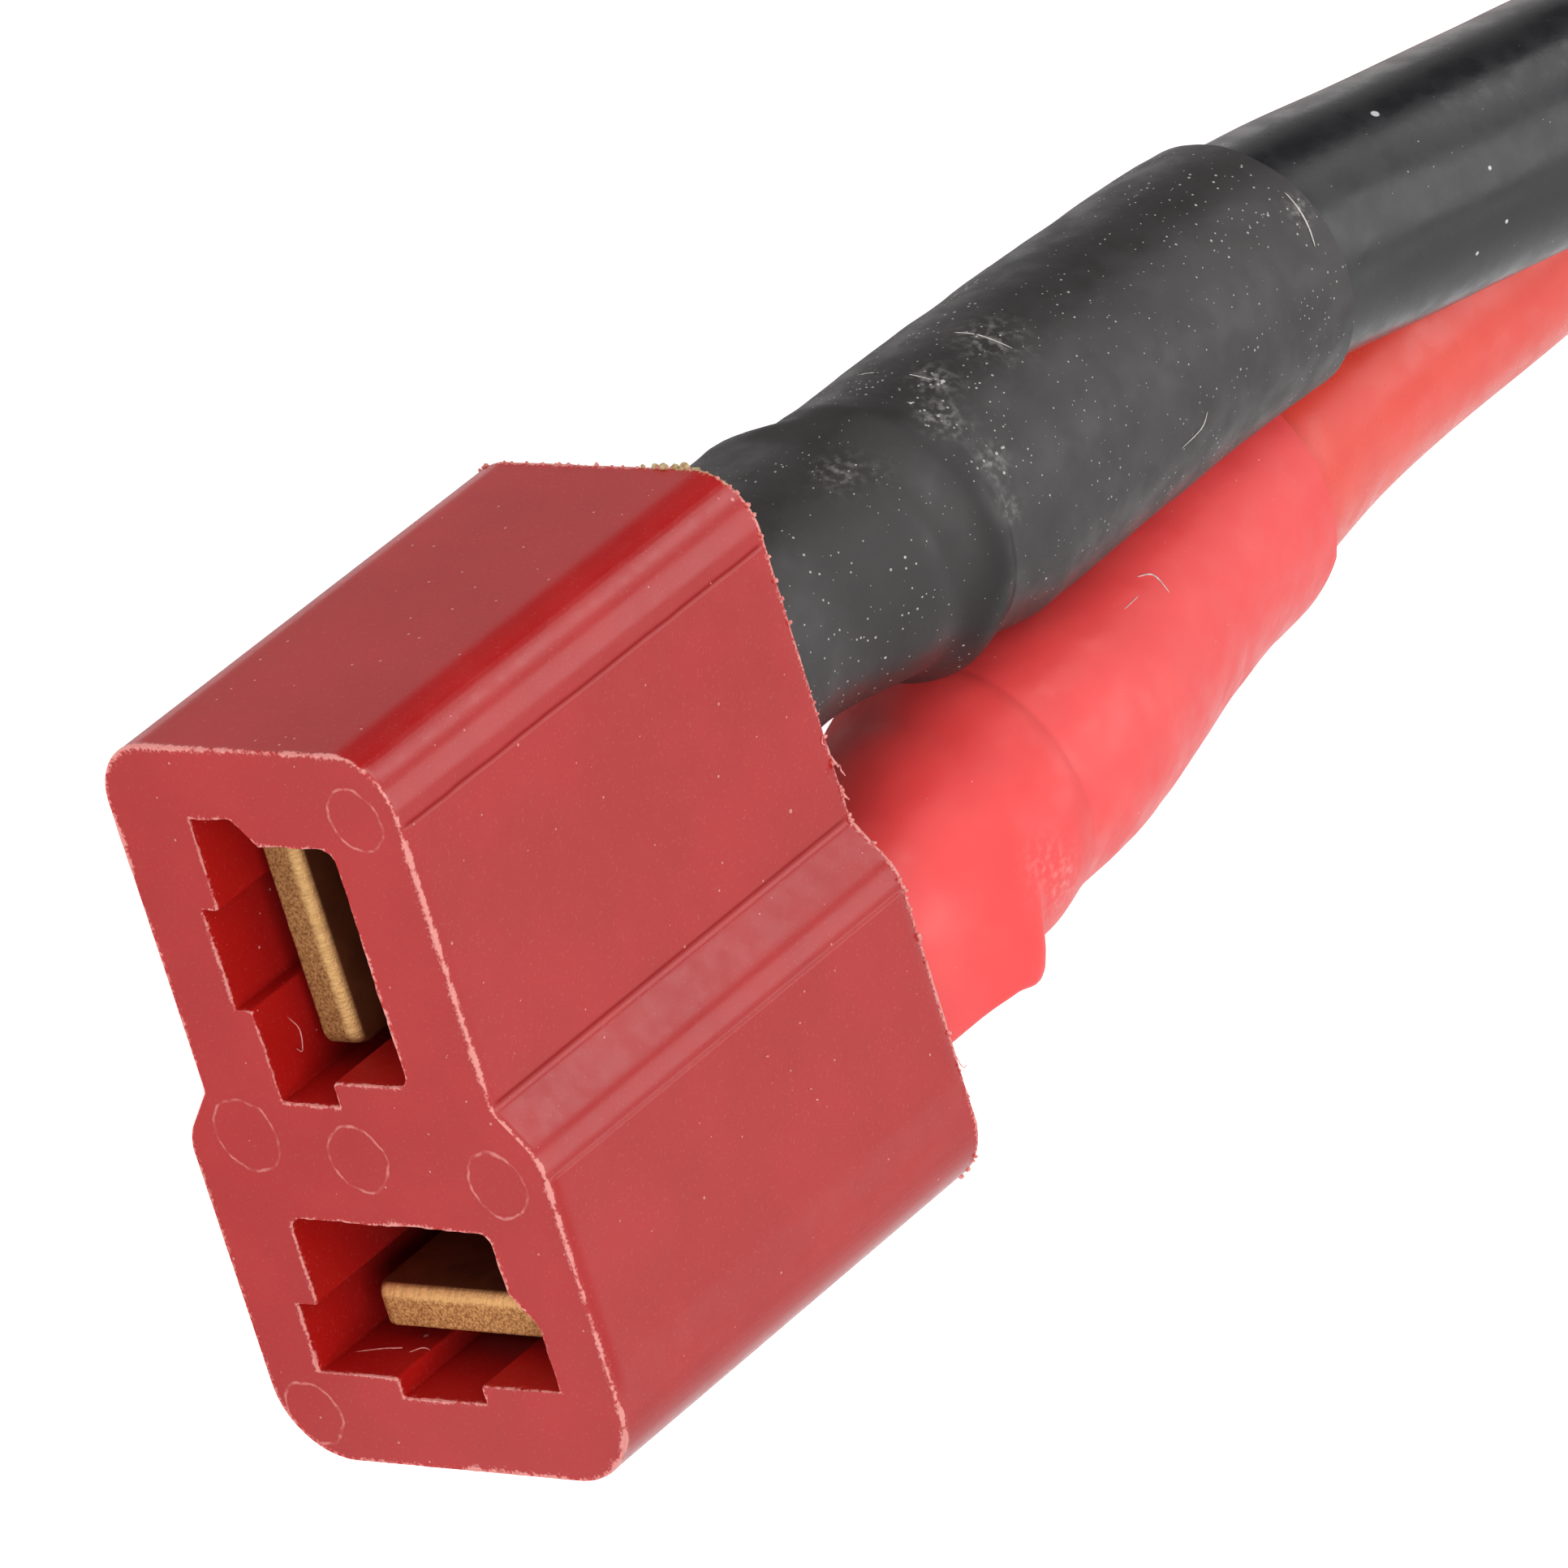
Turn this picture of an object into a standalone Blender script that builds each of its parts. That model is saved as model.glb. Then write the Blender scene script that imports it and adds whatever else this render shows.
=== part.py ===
"""Socket half of a small two-pole power connector, with its two sleeved leads.

The moulded housing lies on one broad side. Its two stepped pockets open towards -Y, one upright
and one across, and each holds a flat contact bar. A bowed leaf spring presses every bar, which
rocks a little where it passes the rear wall. Behind the housing the bared strands of a lead are
soldered to each bar's tail, and a heat-shrink sleeve covers tail, joint and lead end.

Frame: +X along the face from the negative to the positive pole, +Y back along the leads, +Z up.
Lengths are in metres.
"""

import math
from dataclasses import dataclass

import bmesh
import bpy
from mathutils import Vector

# Housing
FACE_LENGTH = 0.0160
BODY_DEPTH = 0.0119
NARROW_THICKNESS = 0.00744
WIDE_THICKNESS = 0.00910
SHOULDER_START = 0.0003
SHOULDER_RUN = 0.00105
NARROW_CORNER = 0.0013
WIDE_CORNER = 0.00165
SHOULDER_HOLLOW = 0.0005
SHOULDER_ROUND = 0.0011
REAR_WALL = 0.0020

# Pockets, each drawn across its own bar: b = 0 is the ledge between its two steps
POCKET_PITCH = 0.483 * FACE_LENGTH
POCKET_SHIFT = 0.036 * FACE_LENGTH
NEGATIVE_LEDGE_HEIGHT = 0.00435
BLADE_SLOT_WIDTH = 0.0052
BLADE_SLOT_HEIGHT = 0.00195
BAR_SLOT_WIDTH = 0.00626
BAR_SLOT_HEIGHT = 0.00155
SPRING_RECESS_WIDTH = 0.0022
SPRING_RECESS_DEPTH = 0.00042
SPRING_RECESS_END = 0.0092
SLOT_CORNER = 0.00030
STEP_CORNER = 0.00010

# Contact bars
BAR_WIDTH = 0.0051
BAR_THICKNESS = 0.00085
BAR_SETBACK = 0.0012
BAR_LEDGE_GAP = 0.00027
BAR_NOSE_CORNER = 0.00035
BAR_EDGE = 0.00007
POSITIVE_BAR_OFFSET = 0.00030
TAIL_WIDTH = 0.0049
TAIL_LENGTH = 0.0051
TAIL_CORNER = 0.0008
SLOT_CLEARANCE = 0.00010

# Leaf springs
SPRING_THICKNESS = 0.00018
SPRING_WIDTH = 0.0018
SPRING_START = 0.0024
SPRING_LENGTH = 0.0062
SPRING_SEAT_GAP = 0.00010

# Leads, with their bared strands laid on the tails
LEAD_DIAMETER = 0.00525
LEAD_LENGTH = 0.100
STRAIGHT_START = 0.0010
STRAND_DIAMETER = 0.0030
STRAND_PRESSED_WIDTH = 0.0034
STRAND_PRESSED_HEIGHT = 0.00250
STRAND_START = 0.0009
JOINT_GAP = 0.00010
SOLDER_FILM = 0.00016
SOLDER_FOOT = 0.00022
SOLDER_LENGTH = 0.0036
TINNED_LENGTH = 0.0070
FLOOR_GAP = 0.00002

# Heat-shrink sleeves
SLEEVE_LENGTH = 0.0191
SLEEVE_WALL = 0.00018
SLEEVE_GAP = 0.00010
SLEEVE_BULGE = 0.00017
SLEEVE_SEAT_GAP = 0.00010
SLEEVE_STEP_LENGTH = 0.0016
SLEEVE_GROOVE = 0.00022
SLEEVE_GROOVE_WIDTH = 0.0005
SLEEVE_LOW_CORNER = 0.00036
SLEEVE_HIGH_CORNER = 0.00230
TRAVEL_ROOM = 0.00034

# How finely round pieces are faceted
ARC_STEP = math.radians(15)
SECTION_QUARTER = 7
SLEEVE_RINGS = 30
STRAND_RINGS = 9
LEAD_POINTS = 34
LEAD_SIDES_SETTING = 4
WELD = 0.000001

# Derived places
FACE_Y = -(BODY_DEPTH + SLEEVE_SEAT_GAP + SLEEVE_LENGTH) / 2
REAR_Y = FACE_Y + BODY_DEPTH
MID_HEIGHT = WIDE_THICKNESS / 2
BAR_MIDDLE = -BAR_LEDGE_GAP - BAR_THICKNESS / 2
PIVOT_DEPTH = BODY_DEPTH - REAR_WALL / 2
STRAND_RISE = -BAR_LEDGE_GAP + JOINT_GAP
LEAD_RISE = STRAND_RISE + STRAND_DIAMETER / 2
LYING_HEIGHT = LEAD_DIAMETER / 2 + FLOOR_GAP

# Ways that the two leads take behind their sleeves, as chosen points: the black lead climbs over
# the red one in a long low hump and comes down beside it
NEGATIVE_ROUTE = (
    (-0.00326, 0.0084, 0.00567),
    (-0.00310, 0.0134, 0.00563),
    (-0.00280, 0.0164, 0.00567),
    (-0.00235, 0.0194, 0.00595),
    (-0.00190, 0.0229, 0.00640),
    (-0.00140, 0.0264, 0.00690),
    (-0.00010, 0.0314, 0.00770),
    (0.00160, 0.0364, 0.00825),
    (0.00360, 0.0414, 0.00815),
    (0.00580, 0.0464, 0.00715),
    (0.00790, 0.0514, 0.00545),
    (0.00960, 0.0569, 0.00365),
    (0.01080, 0.0624, 0.00280),
    (0.01150, 0.0684, LYING_HEIGHT),
    (0.01200, 0.0764, LYING_HEIGHT),
    (0.01260, 0.0864, LYING_HEIGHT),
    (0.01350, 0.0964, LYING_HEIGHT),
    (0.01480, 0.1084, LYING_HEIGHT),
)
POSITIVE_ROUTE = (
    (0.00306, 0.0062, 0.00473),
    (0.00292, 0.0086, 0.00425),
    (0.00262, 0.0109, 0.00377),
    (0.00245, 0.0134, 0.00340),
    (0.00230, 0.0159, 0.00305),
    (0.00215, 0.0184, 0.00277),
    (0.00207, 0.0214, LYING_HEIGHT),
    (0.00205, 0.0264, LYING_HEIGHT),
    (0.00190, 0.0324, LYING_HEIGHT),
    (0.00130, 0.0404, LYING_HEIGHT),
    (0.00040, 0.0484, LYING_HEIGHT),
    (-0.00050, 0.0564, LYING_HEIGHT),
    (-0.00110, 0.0644, LYING_HEIGHT),
    (-0.00130, 0.0724, LYING_HEIGHT),
    (-0.00115, 0.0804, LYING_HEIGHT),
    (-0.00070, 0.0904, LYING_HEIGHT),
    (0.00010, 0.1084, LYING_HEIGHT),
)


@dataclass(frozen=True)
class Pole:
    """One pole: where its pocket sits, how far it is turned about +Y, and what differs in it."""

    name: str
    x: float
    z: float
    turn: float
    bar_offset: float
    bevelled_side: int
    bevel_low: float
    bevel_high: float
    bared_length: float
    sleeve_length: float
    route: tuple
    colour: tuple

    @property
    def lead_depth(self):
        """How far behind the mating face the lead's insulation begins."""
        return BODY_DEPTH + STRAND_START + self.bared_length + JOINT_GAP

    def across(self, x, z):
        """The pole's own coordinates (a along the bar's width, b across it) of a place (x, z)."""
        dx = x - self.x
        dz = z - self.z
        c = math.cos(self.turn)
        s = math.sin(self.turn)
        return c * dx - s * dz, s * dx + c * dz

    def place(self, a, b):
        """The place (x, z) of the pole's own coordinates (a, b)."""
        c = math.cos(self.turn)
        s = math.sin(self.turn)
        return self.x + c * a + s * b, self.z - s * a + c * b


NEGATIVE = Pole(
    name="negative",
    x=POCKET_SHIFT - POCKET_PITCH / 2,
    z=NEGATIVE_LEDGE_HEIGHT,
    turn=0.0,
    bar_offset=0.0,
    bevelled_side=-1,
    bevel_low=-0.00044,
    bevel_high=0.00007,
    bared_length=0.0054,
    sleeve_length=0.0184,
    route=NEGATIVE_ROUTE,
    colour=(0.035, 0.034, 0.035),
)
POSITIVE = Pole(
    name="positive",
    x=POCKET_SHIFT + POCKET_PITCH / 2,
    z=MID_HEIGHT,
    turn=-math.pi / 2,
    bar_offset=POSITIVE_BAR_OFFSET,
    bevelled_side=1,
    bevel_low=-0.00005,
    bevel_high=0.00058,
    bared_length=0.0060,
    sleeve_length=SLEEVE_LENGTH,
    route=POSITIVE_ROUTE,
    colour=(0.80, 0.07, 0.06),
)
POLES = (NEGATIVE, POSITIVE)


def clear_scene():
    """Removes every object of the startup scene."""
    for obj in list(bpy.data.objects):
        bpy.data.objects.remove(obj)


def collection(name):
    """A new collection under the scene's own."""
    made = bpy.data.collections.new(name)
    bpy.context.scene.collection.children.link(made)
    return made


def principled(name, colour, roughness, metallic=0.0):
    """A material with one Principled BSDF of the given colour, roughness and metallic value."""
    material = bpy.data.materials.new(name)
    material.use_nodes = True
    shader = material.node_tree.nodes["Principled BSDF"]
    shader.inputs["Base Color"].default_value = (*colour, 1.0)
    shader.inputs["Roughness"].default_value = roughness
    shader.inputs["Metallic"].default_value = metallic
    return material


def add(name, data, into, material=None, parent=None):
    """Puts mesh or curve data into a collection as an object, dressed and parented."""
    obj = bpy.data.objects.new(name, data)
    into.objects.link(obj)
    if material:
        data.materials.append(material)
    if parent:
        obj.parent = parent
    return obj


def filleted(corners):
    """The outline through corners (x, y, radius), each rounded by an arc of its radius."""
    points = []
    count = len(corners)
    for i, (x, y, radius) in enumerate(corners):
        here = Vector((x, y))
        if radius <= 0:
            points.append(here)
            continue
        back = (Vector(corners[i - 1][:2]) - here).normalized()
        ahead = (Vector(corners[(i + 1) % count][:2]) - here).normalized()
        half = back.angle(ahead) / 2
        reach = radius / math.tan(half)
        centre = here + (back + ahead).normalized() * (radius / math.sin(half))
        first = here + back * reach - centre
        last = here + ahead * reach - centre
        sweep = math.copysign(math.pi - 2 * half, first.cross(last))
        steps = max(1, round(abs(sweep) / ARC_STEP))
        for k in range(steps + 1):
            angle = sweep * k / steps
            c = math.cos(angle)
            s = math.sin(angle)
            spoke = Vector((c * first.x - s * first.y, s * first.x + c * first.y))
            points.append(centre + spoke)
    return points


def outline_curve(name, outline, thickness):
    """A flat outline as a filled 2D curve, extruded by half its thickness to either side."""
    curve = bpy.data.curves.new(name, "CURVE")
    curve.dimensions = "2D"
    curve.fill_mode = "BOTH"
    curve.extrude = thickness / 2
    spline = curve.splines.new("POLY")
    spline.points.add(len(outline) - 1)
    for point, (x, y) in zip(spline.points, outline):
        point.co = (x, y, 0, 1)
    spline.use_cyclic_u = True
    return curve


def meshed(obj):
    """Turns a curve object into a mesh object at the world's origin, its caps welded on."""
    bpy.context.view_layer.update()
    graph = bpy.context.evaluated_depsgraph_get()
    mesh = bpy.data.meshes.new_from_object(obj.evaluated_get(graph))
    mesh.transform(obj.matrix_world)
    shape = bmesh.new()
    shape.from_mesh(mesh)
    bmesh.ops.remove_doubles(shape, verts=shape.verts, dist=WELD)
    bmesh.ops.recalc_face_normals(shape, faces=shape.faces)
    shape.to_mesh(mesh)
    shape.free()
    name = obj.name
    into = obj.users_collection[0]
    bpy.data.objects.remove(obj)
    return add(name, mesh, into)


def prism(name, outline, y_from, y_to, into, parent=None):
    """A mesh with the same section (x, z) from one depth y to another."""
    obj = add(name, outline_curve(name, outline, y_to - y_from), into, parent=parent)
    obj.rotation_euler = (math.pi / 2, 0, 0)
    obj.location = (0, (y_from + y_to) / 2, 0)
    return meshed(obj)


def cut(obj, cutter):
    """Cuts one mesh out of another and keeps the cutter as a hidden wire object."""
    modifier = obj.modifiers.new(f"cut {cutter.name}", "BOOLEAN")
    modifier.operation = "DIFFERENCE"
    modifier.solver = "EXACT"
    modifier.object = cutter
    cutter.hide_render = True
    cutter.display_type = "WIRE"


def smooth(obj, angle=math.radians(35)):
    """Shades a mesh smooth between edges sharper than the angle."""
    obj.data.shade_smooth()
    obj.data.set_sharp_from_angle(angle=angle)


def soften(obj, width, segments):
    """Welds a curve's caps to its sides and rounds its sharp edges."""
    weld = obj.modifiers.new("weld", "WELD")
    weld.merge_threshold = WELD
    bevel = obj.modifiers.new("edges", "BEVEL")
    bevel.width = width
    bevel.segments = segments
    bevel.limit_method = "ANGLE"


def loft(name, rings, caps):
    """A mesh through rings of equally many points, each ring a closed section."""
    shape = bmesh.new()
    rows = [[shape.verts.new(point) for point in ring] for ring in rings]
    count = len(rows[0])
    for near, far in zip(rows, rows[1:]):
        for i in range(count):
            j = (i + 1) % count
            shape.faces.new((near[i], near[j], far[j], far[i]))
    if caps:
        shape.faces.new(rows[0])
        shape.faces.new(reversed(rows[-1]))
    bmesh.ops.recalc_face_normals(shape, faces=shape.faces)
    mesh = bpy.data.meshes.new(name)
    shape.to_mesh(mesh)
    shape.free()
    return mesh


def eased(value):
    """A smooth step from 0 to 1 as the value goes from 0 to 1."""
    t = min(1.0, max(0.0, value))
    return t * t * (3 - 2 * t)


def mix(first, last, share):
    """The value that lies a share of the way from the first to the last."""
    return first + (last - first) * share


def housing_outline():
    """The housing's section: a narrow end, sloping shoulders and a wide end."""
    left = -FACE_LENGTH / 2
    right = FACE_LENGTH / 2
    hollow = POCKET_SHIFT - SHOULDER_START - SHOULDER_RUN / 2
    crest = hollow + SHOULDER_RUN
    low = MID_HEIGHT - NARROW_THICKNESS / 2
    high = MID_HEIGHT + NARROW_THICKNESS / 2
    return filleted(
        (
            (left, low, NARROW_CORNER),
            (hollow, low, SHOULDER_HOLLOW),
            (crest, 0.0, SHOULDER_ROUND),
            (right, 0.0, WIDE_CORNER),
            (right, WIDE_THICKNESS, WIDE_CORNER),
            (crest, WIDE_THICKNESS, SHOULDER_ROUND),
            (hollow, high, SHOULDER_HOLLOW),
            (left, high, NARROW_CORNER),
        )
    )


def pocket_outline(pole):
    """A pocket's section (a, b): the blade's slot above the ledge, the bar's slot below it."""
    blade = BLADE_SLOT_WIDTH / 2
    bar = BAR_SLOT_WIDTH / 2
    square = -pole.bevelled_side
    corners = [
        (square * blade, BLADE_SLOT_HEIGHT, SLOT_CORNER),
        (square * blade, 0.0, 0.0),
        (square * bar, 0.0, STEP_CORNER),
        (square * bar, -BAR_SLOT_HEIGHT, STEP_CORNER),
        (-square * bar, -BAR_SLOT_HEIGHT, STEP_CORNER),
        (-square * bar, pole.bevel_low, 0.0),
        (-square * blade, pole.bevel_high, 0.0),
        (-square * blade, BLADE_SLOT_HEIGHT, SLOT_CORNER),
    ]
    return filleted(corners)


def turned(pole, outline):
    """An outline (a, b) of a pole as an outline (x, z)."""
    return [pole.place(a, b) for a, b in outline]


def box_outline(half_width, low, high):
    """The corners of a rectangle centred on a = 0."""
    return [(-half_width, low), (half_width, low), (half_width, high), (-half_width, high)]


def build_housing(parts, cutters, material):
    """The moulding, with a pocket, a spring recess and a rear slot cut for each pole."""
    housing = prism("housing", housing_outline(), FACE_Y, REAR_Y, parts)
    housing.data.materials.append(material)
    past = REAR_WALL / 2
    for pole in POLES:
        pocket = prism(
            f"{pole.name}_pocket_cutter",
            turned(pole, pocket_outline(pole)),
            FACE_Y - past,
            REAR_Y - REAR_WALL,
            cutters,
        )
        cut(housing, pocket)
        floor = -BAR_SLOT_HEIGHT - SPRING_RECESS_DEPTH
        recess = prism(
            f"{pole.name}_recess_cutter",
            turned(pole, box_outline(SPRING_RECESS_WIDTH / 2, floor, BAR_MIDDLE)),
            FACE_Y - past,
            FACE_Y + SPRING_RECESS_END,
            cutters,
        )
        cut(housing, recess)
        reach = BAR_THICKNESS / 2 + SLOT_CLEARANCE
        slot = box_outline(
            BAR_WIDTH / 2 + SLOT_CLEARANCE, BAR_MIDDLE - reach, BAR_MIDDLE + reach
        )
        shifted = [(a + pole.bar_offset, b) for a, b in slot]
        passage = prism(
            f"{pole.name}_slot_cutter",
            turned(pole, shifted),
            REAR_Y - REAR_WALL - past,
            REAR_Y + past,
            cutters,
        )
        cut(housing, passage)
    smooth(housing)
    return housing


def pole_seat(pole, into):
    """An empty at the pole's ledge in the mating face, turned with the pole."""
    seat = bpy.data.objects.new(f"{pole.name}_seat", None)
    seat.location = (pole.x, FACE_Y, pole.z)
    seat.rotation_euler = (0, pole.turn, 0)
    into.objects.link(seat)
    return seat


def pole_pivot(pole, seat, into):
    """An empty on the axis that the bar rocks about, in the middle of the rear wall."""
    pivot = bpy.data.objects.new(f"{pole.name}_pivot", None)
    pivot.parent = seat
    pivot.location = (pole.bar_offset, PIVOT_DEPTH, BAR_MIDDLE)
    into.objects.link(pivot)
    return pivot


def build_contact(pole, pivot, into, material):
    """The contact: a flat strip with a rounded nose and a narrower solder tail."""
    nose = BAR_SETBACK - PIVOT_DEPTH
    step = REAR_WALL / 2
    tip = REAR_WALL / 2 + TAIL_LENGTH
    bar = BAR_WIDTH / 2
    tail = TAIL_WIDTH / 2
    outline = filleted(
        (
            (-bar, nose, BAR_NOSE_CORNER),
            (bar, nose, BAR_NOSE_CORNER),
            (bar, step, BAR_EDGE),
            (tail, step, BAR_EDGE),
            (tail, tip, TAIL_CORNER),
            (-tail, tip, TAIL_CORNER),
            (-tail, step, BAR_EDGE),
            (-bar, step, BAR_EDGE),
        )
    )
    curve = outline_curve(f"{pole.name}_contact", outline, BAR_THICKNESS)
    contact = add(f"{pole.name}_contact", curve, into, material, pivot)
    soften(contact, BAR_EDGE, 1)
    return contact


def build_spring(pole, seat, into, material):
    """The leaf spring: a bowed strip whose ends stand on the recess floor behind the bar."""
    low = -BAR_SLOT_HEIGHT - SPRING_RECESS_DEPTH + SPRING_SEAT_GAP
    high = BAR_MIDDLE - BAR_THICKNESS / 2 - SPRING_SEAT_GAP
    bow = high - low - SPRING_THICKNESS
    steps = 14
    under = []
    for k in range(steps + 1):
        share = k / steps
        rise = bow * math.sin(math.pi * share)
        under.append((SPRING_START + SPRING_LENGTH * share, low + rise))
    over = [(y, b + SPRING_THICKNESS) for y, b in reversed(under)]
    curve = outline_curve(f"{pole.name}_contact_spring", under + over, SPRING_WIDTH)
    spring = add(f"{pole.name}_contact_spring", curve, into, material, seat)
    spring.rotation_euler = (math.pi / 2, 0, math.pi / 2)
    return spring


def oval(a, b, half_width, half_height, y):
    """A ring of points on an ellipse centred on (a, b) at depth y."""
    count = 4 * SECTION_QUARTER
    ring = []
    for k in range(count):
        angle = 2 * math.pi * k / count
        ring.append((a + half_width * math.cos(angle), y, b + half_height * math.sin(angle)))
    return ring


def strand_section(pole, depth):
    """Centre (a, b) and half sizes of the bared strands at a depth behind the mating face."""
    share = eased(1 + (depth - pole.lead_depth) / SLEEVE_STEP_LENGTH)
    half_width = mix(STRAND_PRESSED_WIDTH, STRAND_DIAMETER, share) / 2
    half_height = mix(STRAND_PRESSED_HEIGHT, STRAND_DIAMETER, share) / 2
    return pole.bar_offset, STRAND_RISE + half_height, half_width, half_height


def build_conductor(pole, pivot, into, material):
    """The bared strands, pressed flat on the tail and round again where the lead begins."""
    start = BODY_DEPTH + STRAND_START
    rings = []
    for k in range(STRAND_RINGS):
        depth = start + pole.bared_length * k / (STRAND_RINGS - 1)
        a, b, half_width, half_height = strand_section(pole, depth)
        rings.append(
            oval(
                a - pole.bar_offset,
                b - BAR_MIDDLE,
                half_width,
                half_height,
                depth - PIVOT_DEPTH,
            )
        )
    mesh = loft(f"{pole.name}_conductor", rings, caps=True)
    conductor = add(f"{pole.name}_conductor", mesh, into, material, pivot)
    smooth(conductor)
    return conductor


def solder_section(pole, depth, swell):
    """An arch over the strands at a depth, its feet on the tail; swell thins it to its ends."""
    a, b, half_width, half_height = strand_section(pole, depth)
    foot = STRAND_RISE
    inner = []
    outer = []
    count = 2 * SECTION_QUARTER
    spread = half_width + JOINT_GAP
    top = half_height + JOINT_GAP
    film = SOLDER_FILM * swell
    for k in range(count + 1):
        angle = math.pi * k / count
        c = math.cos(angle)
        s = math.sin(angle)
        inner.append((spread * c, max(b + top * s, foot)))
        widening = (SOLDER_FOOT + film) * (1 - s) + film * s
        outer.append(((spread + widening) * c, b + (top + film) * s))
    outer[0] = (outer[0][0], b)
    inner = [(spread, foot)] + inner + [(-spread, foot)]
    outer = [(spread + SOLDER_FOOT * (1 + swell), foot)] + outer
    outer.append((-spread - SOLDER_FOOT * (1 + swell), foot))
    y = depth - PIVOT_DEPTH
    section = outer + inner[::-1]
    return [(x, y, z - BAR_MIDDLE) for x, z in section]


def build_solder(pole, pivot, into, material):
    """The solder: a thin arch over the pressed strands that stands on the tail."""
    start = BODY_DEPTH + STRAND_START
    rings = []
    for k in range(STRAND_RINGS):
        share = k / (STRAND_RINGS - 1)
        swell = 0.35 + 0.65 * math.sin(math.pi * share)
        rings.append(solder_section(pole, start + SOLDER_LENGTH * share, swell))
    mesh = loft(f"{pole.name}_solder", rings, caps=True)
    solder = add(f"{pole.name}_solder", mesh, into, material, pivot)
    smooth(solder)
    return solder


def curve_through(points, share):
    """A point on the Catmull-Rom curve through the points, at a share of their count."""
    last = len(points) - 1
    place = min(share * last, last - 1e-9)
    i = int(place)
    t = place - i
    p1 = points[i]
    p2 = points[i + 1]
    p0 = points[i - 1] if i > 0 else p1 - (p2 - p1)
    p3 = points[i + 2] if i + 2 <= last else p2 + (p2 - p1)
    linear = (p2 - p0) * t
    square = (2 * p0 - 5 * p1 + 4 * p2 - p3) * t * t
    cube = (3 * p1 - p0 - 3 * p2 + p3) * t * t * t
    return (2 * p1 + linear + square + cube) / 2


def lead_line(pole):
    """The lead's centre line, its first stretch straight out of the joint."""
    x, z = pole.place(pole.bar_offset, LEAD_RISE)
    exit_point = Vector((x, FACE_Y + pole.lead_depth, z))
    ahead = exit_point + Vector((0, STRAIGHT_START, 0))
    points = [exit_point, ahead] + [Vector(p) for p in pole.route]
    fine = 40 * len(points)
    line = [exit_point]
    walked = 0.0
    for k in range(1, fine + 1):
        point = curve_through(points, k / fine)
        step = (point - line[-1]).length
        if walked + step >= LEAD_LENGTH:
            line.append(line[-1].lerp(point, (LEAD_LENGTH - walked) / step))
            break
        walked += step
        line.append(point)
    return [exit_point] + thinned(line, STRAIGHT_START, LEAD_POINTS)


def thinned(line, start, count):
    """The given number of points, evenly spaced along a line from a length of it onwards."""
    lengths = [0.0]
    for a, b in zip(line, line[1:]):
        lengths.append(lengths[-1] + (b - a).length)
    points = []
    i = 0
    for k in range(count):
        target = mix(start, lengths[-1], k / (count - 1))
        while i < len(line) - 2 and lengths[i + 1] < target:
            i += 1
        share = (target - lengths[i]) / (lengths[i + 1] - lengths[i])
        points.append(line[i].lerp(line[i + 1], share))
    return points


def round_wire(name, points, diameter, into, material):
    """A round solid along the points, as a bevelled curve with filled ends."""
    curve = bpy.data.curves.new(name, "CURVE")
    curve.dimensions = "3D"
    curve.bevel_depth = diameter / 2
    curve.bevel_resolution = LEAD_SIDES_SETTING
    curve.use_fill_caps = True
    spline = curve.splines.new("POLY")
    spline.points.add(len(points) - 1)
    for point, place in zip(spline.points, points):
        point.co = (*place, 1)
    return add(name, curve, into, material)


def build_lead(pole, points, into, material):
    """The insulated lead, at its full length."""
    return round_wire(f"{pole.name}_lead", points, LEAD_DIAMETER, into, material)


def build_tinned_end(pole, line, into, material):
    """The stripped and tinned strands that stand out of the lead's far end."""
    along = (line[-1] - line[-2]).normalized()
    start = line[-1] + along * JOINT_GAP
    points = [start, start + along * TINNED_LENGTH]
    return round_wire(f"{pole.name}_tinned_end", points, STRAND_DIAMETER, into, material)


def on_line(line, y):
    """The place (x, z) where the lead's centre line passes a depth y."""
    if y <= line[0].y:
        return line[0].x, line[0].z
    for a, b in zip(line, line[1:]):
        if b.y >= y:
            point = a.lerp(b, (y - a.y) / (b.y - a.y))
            return point.x, point.z
    return line[-1].x, line[-1].z


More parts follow.
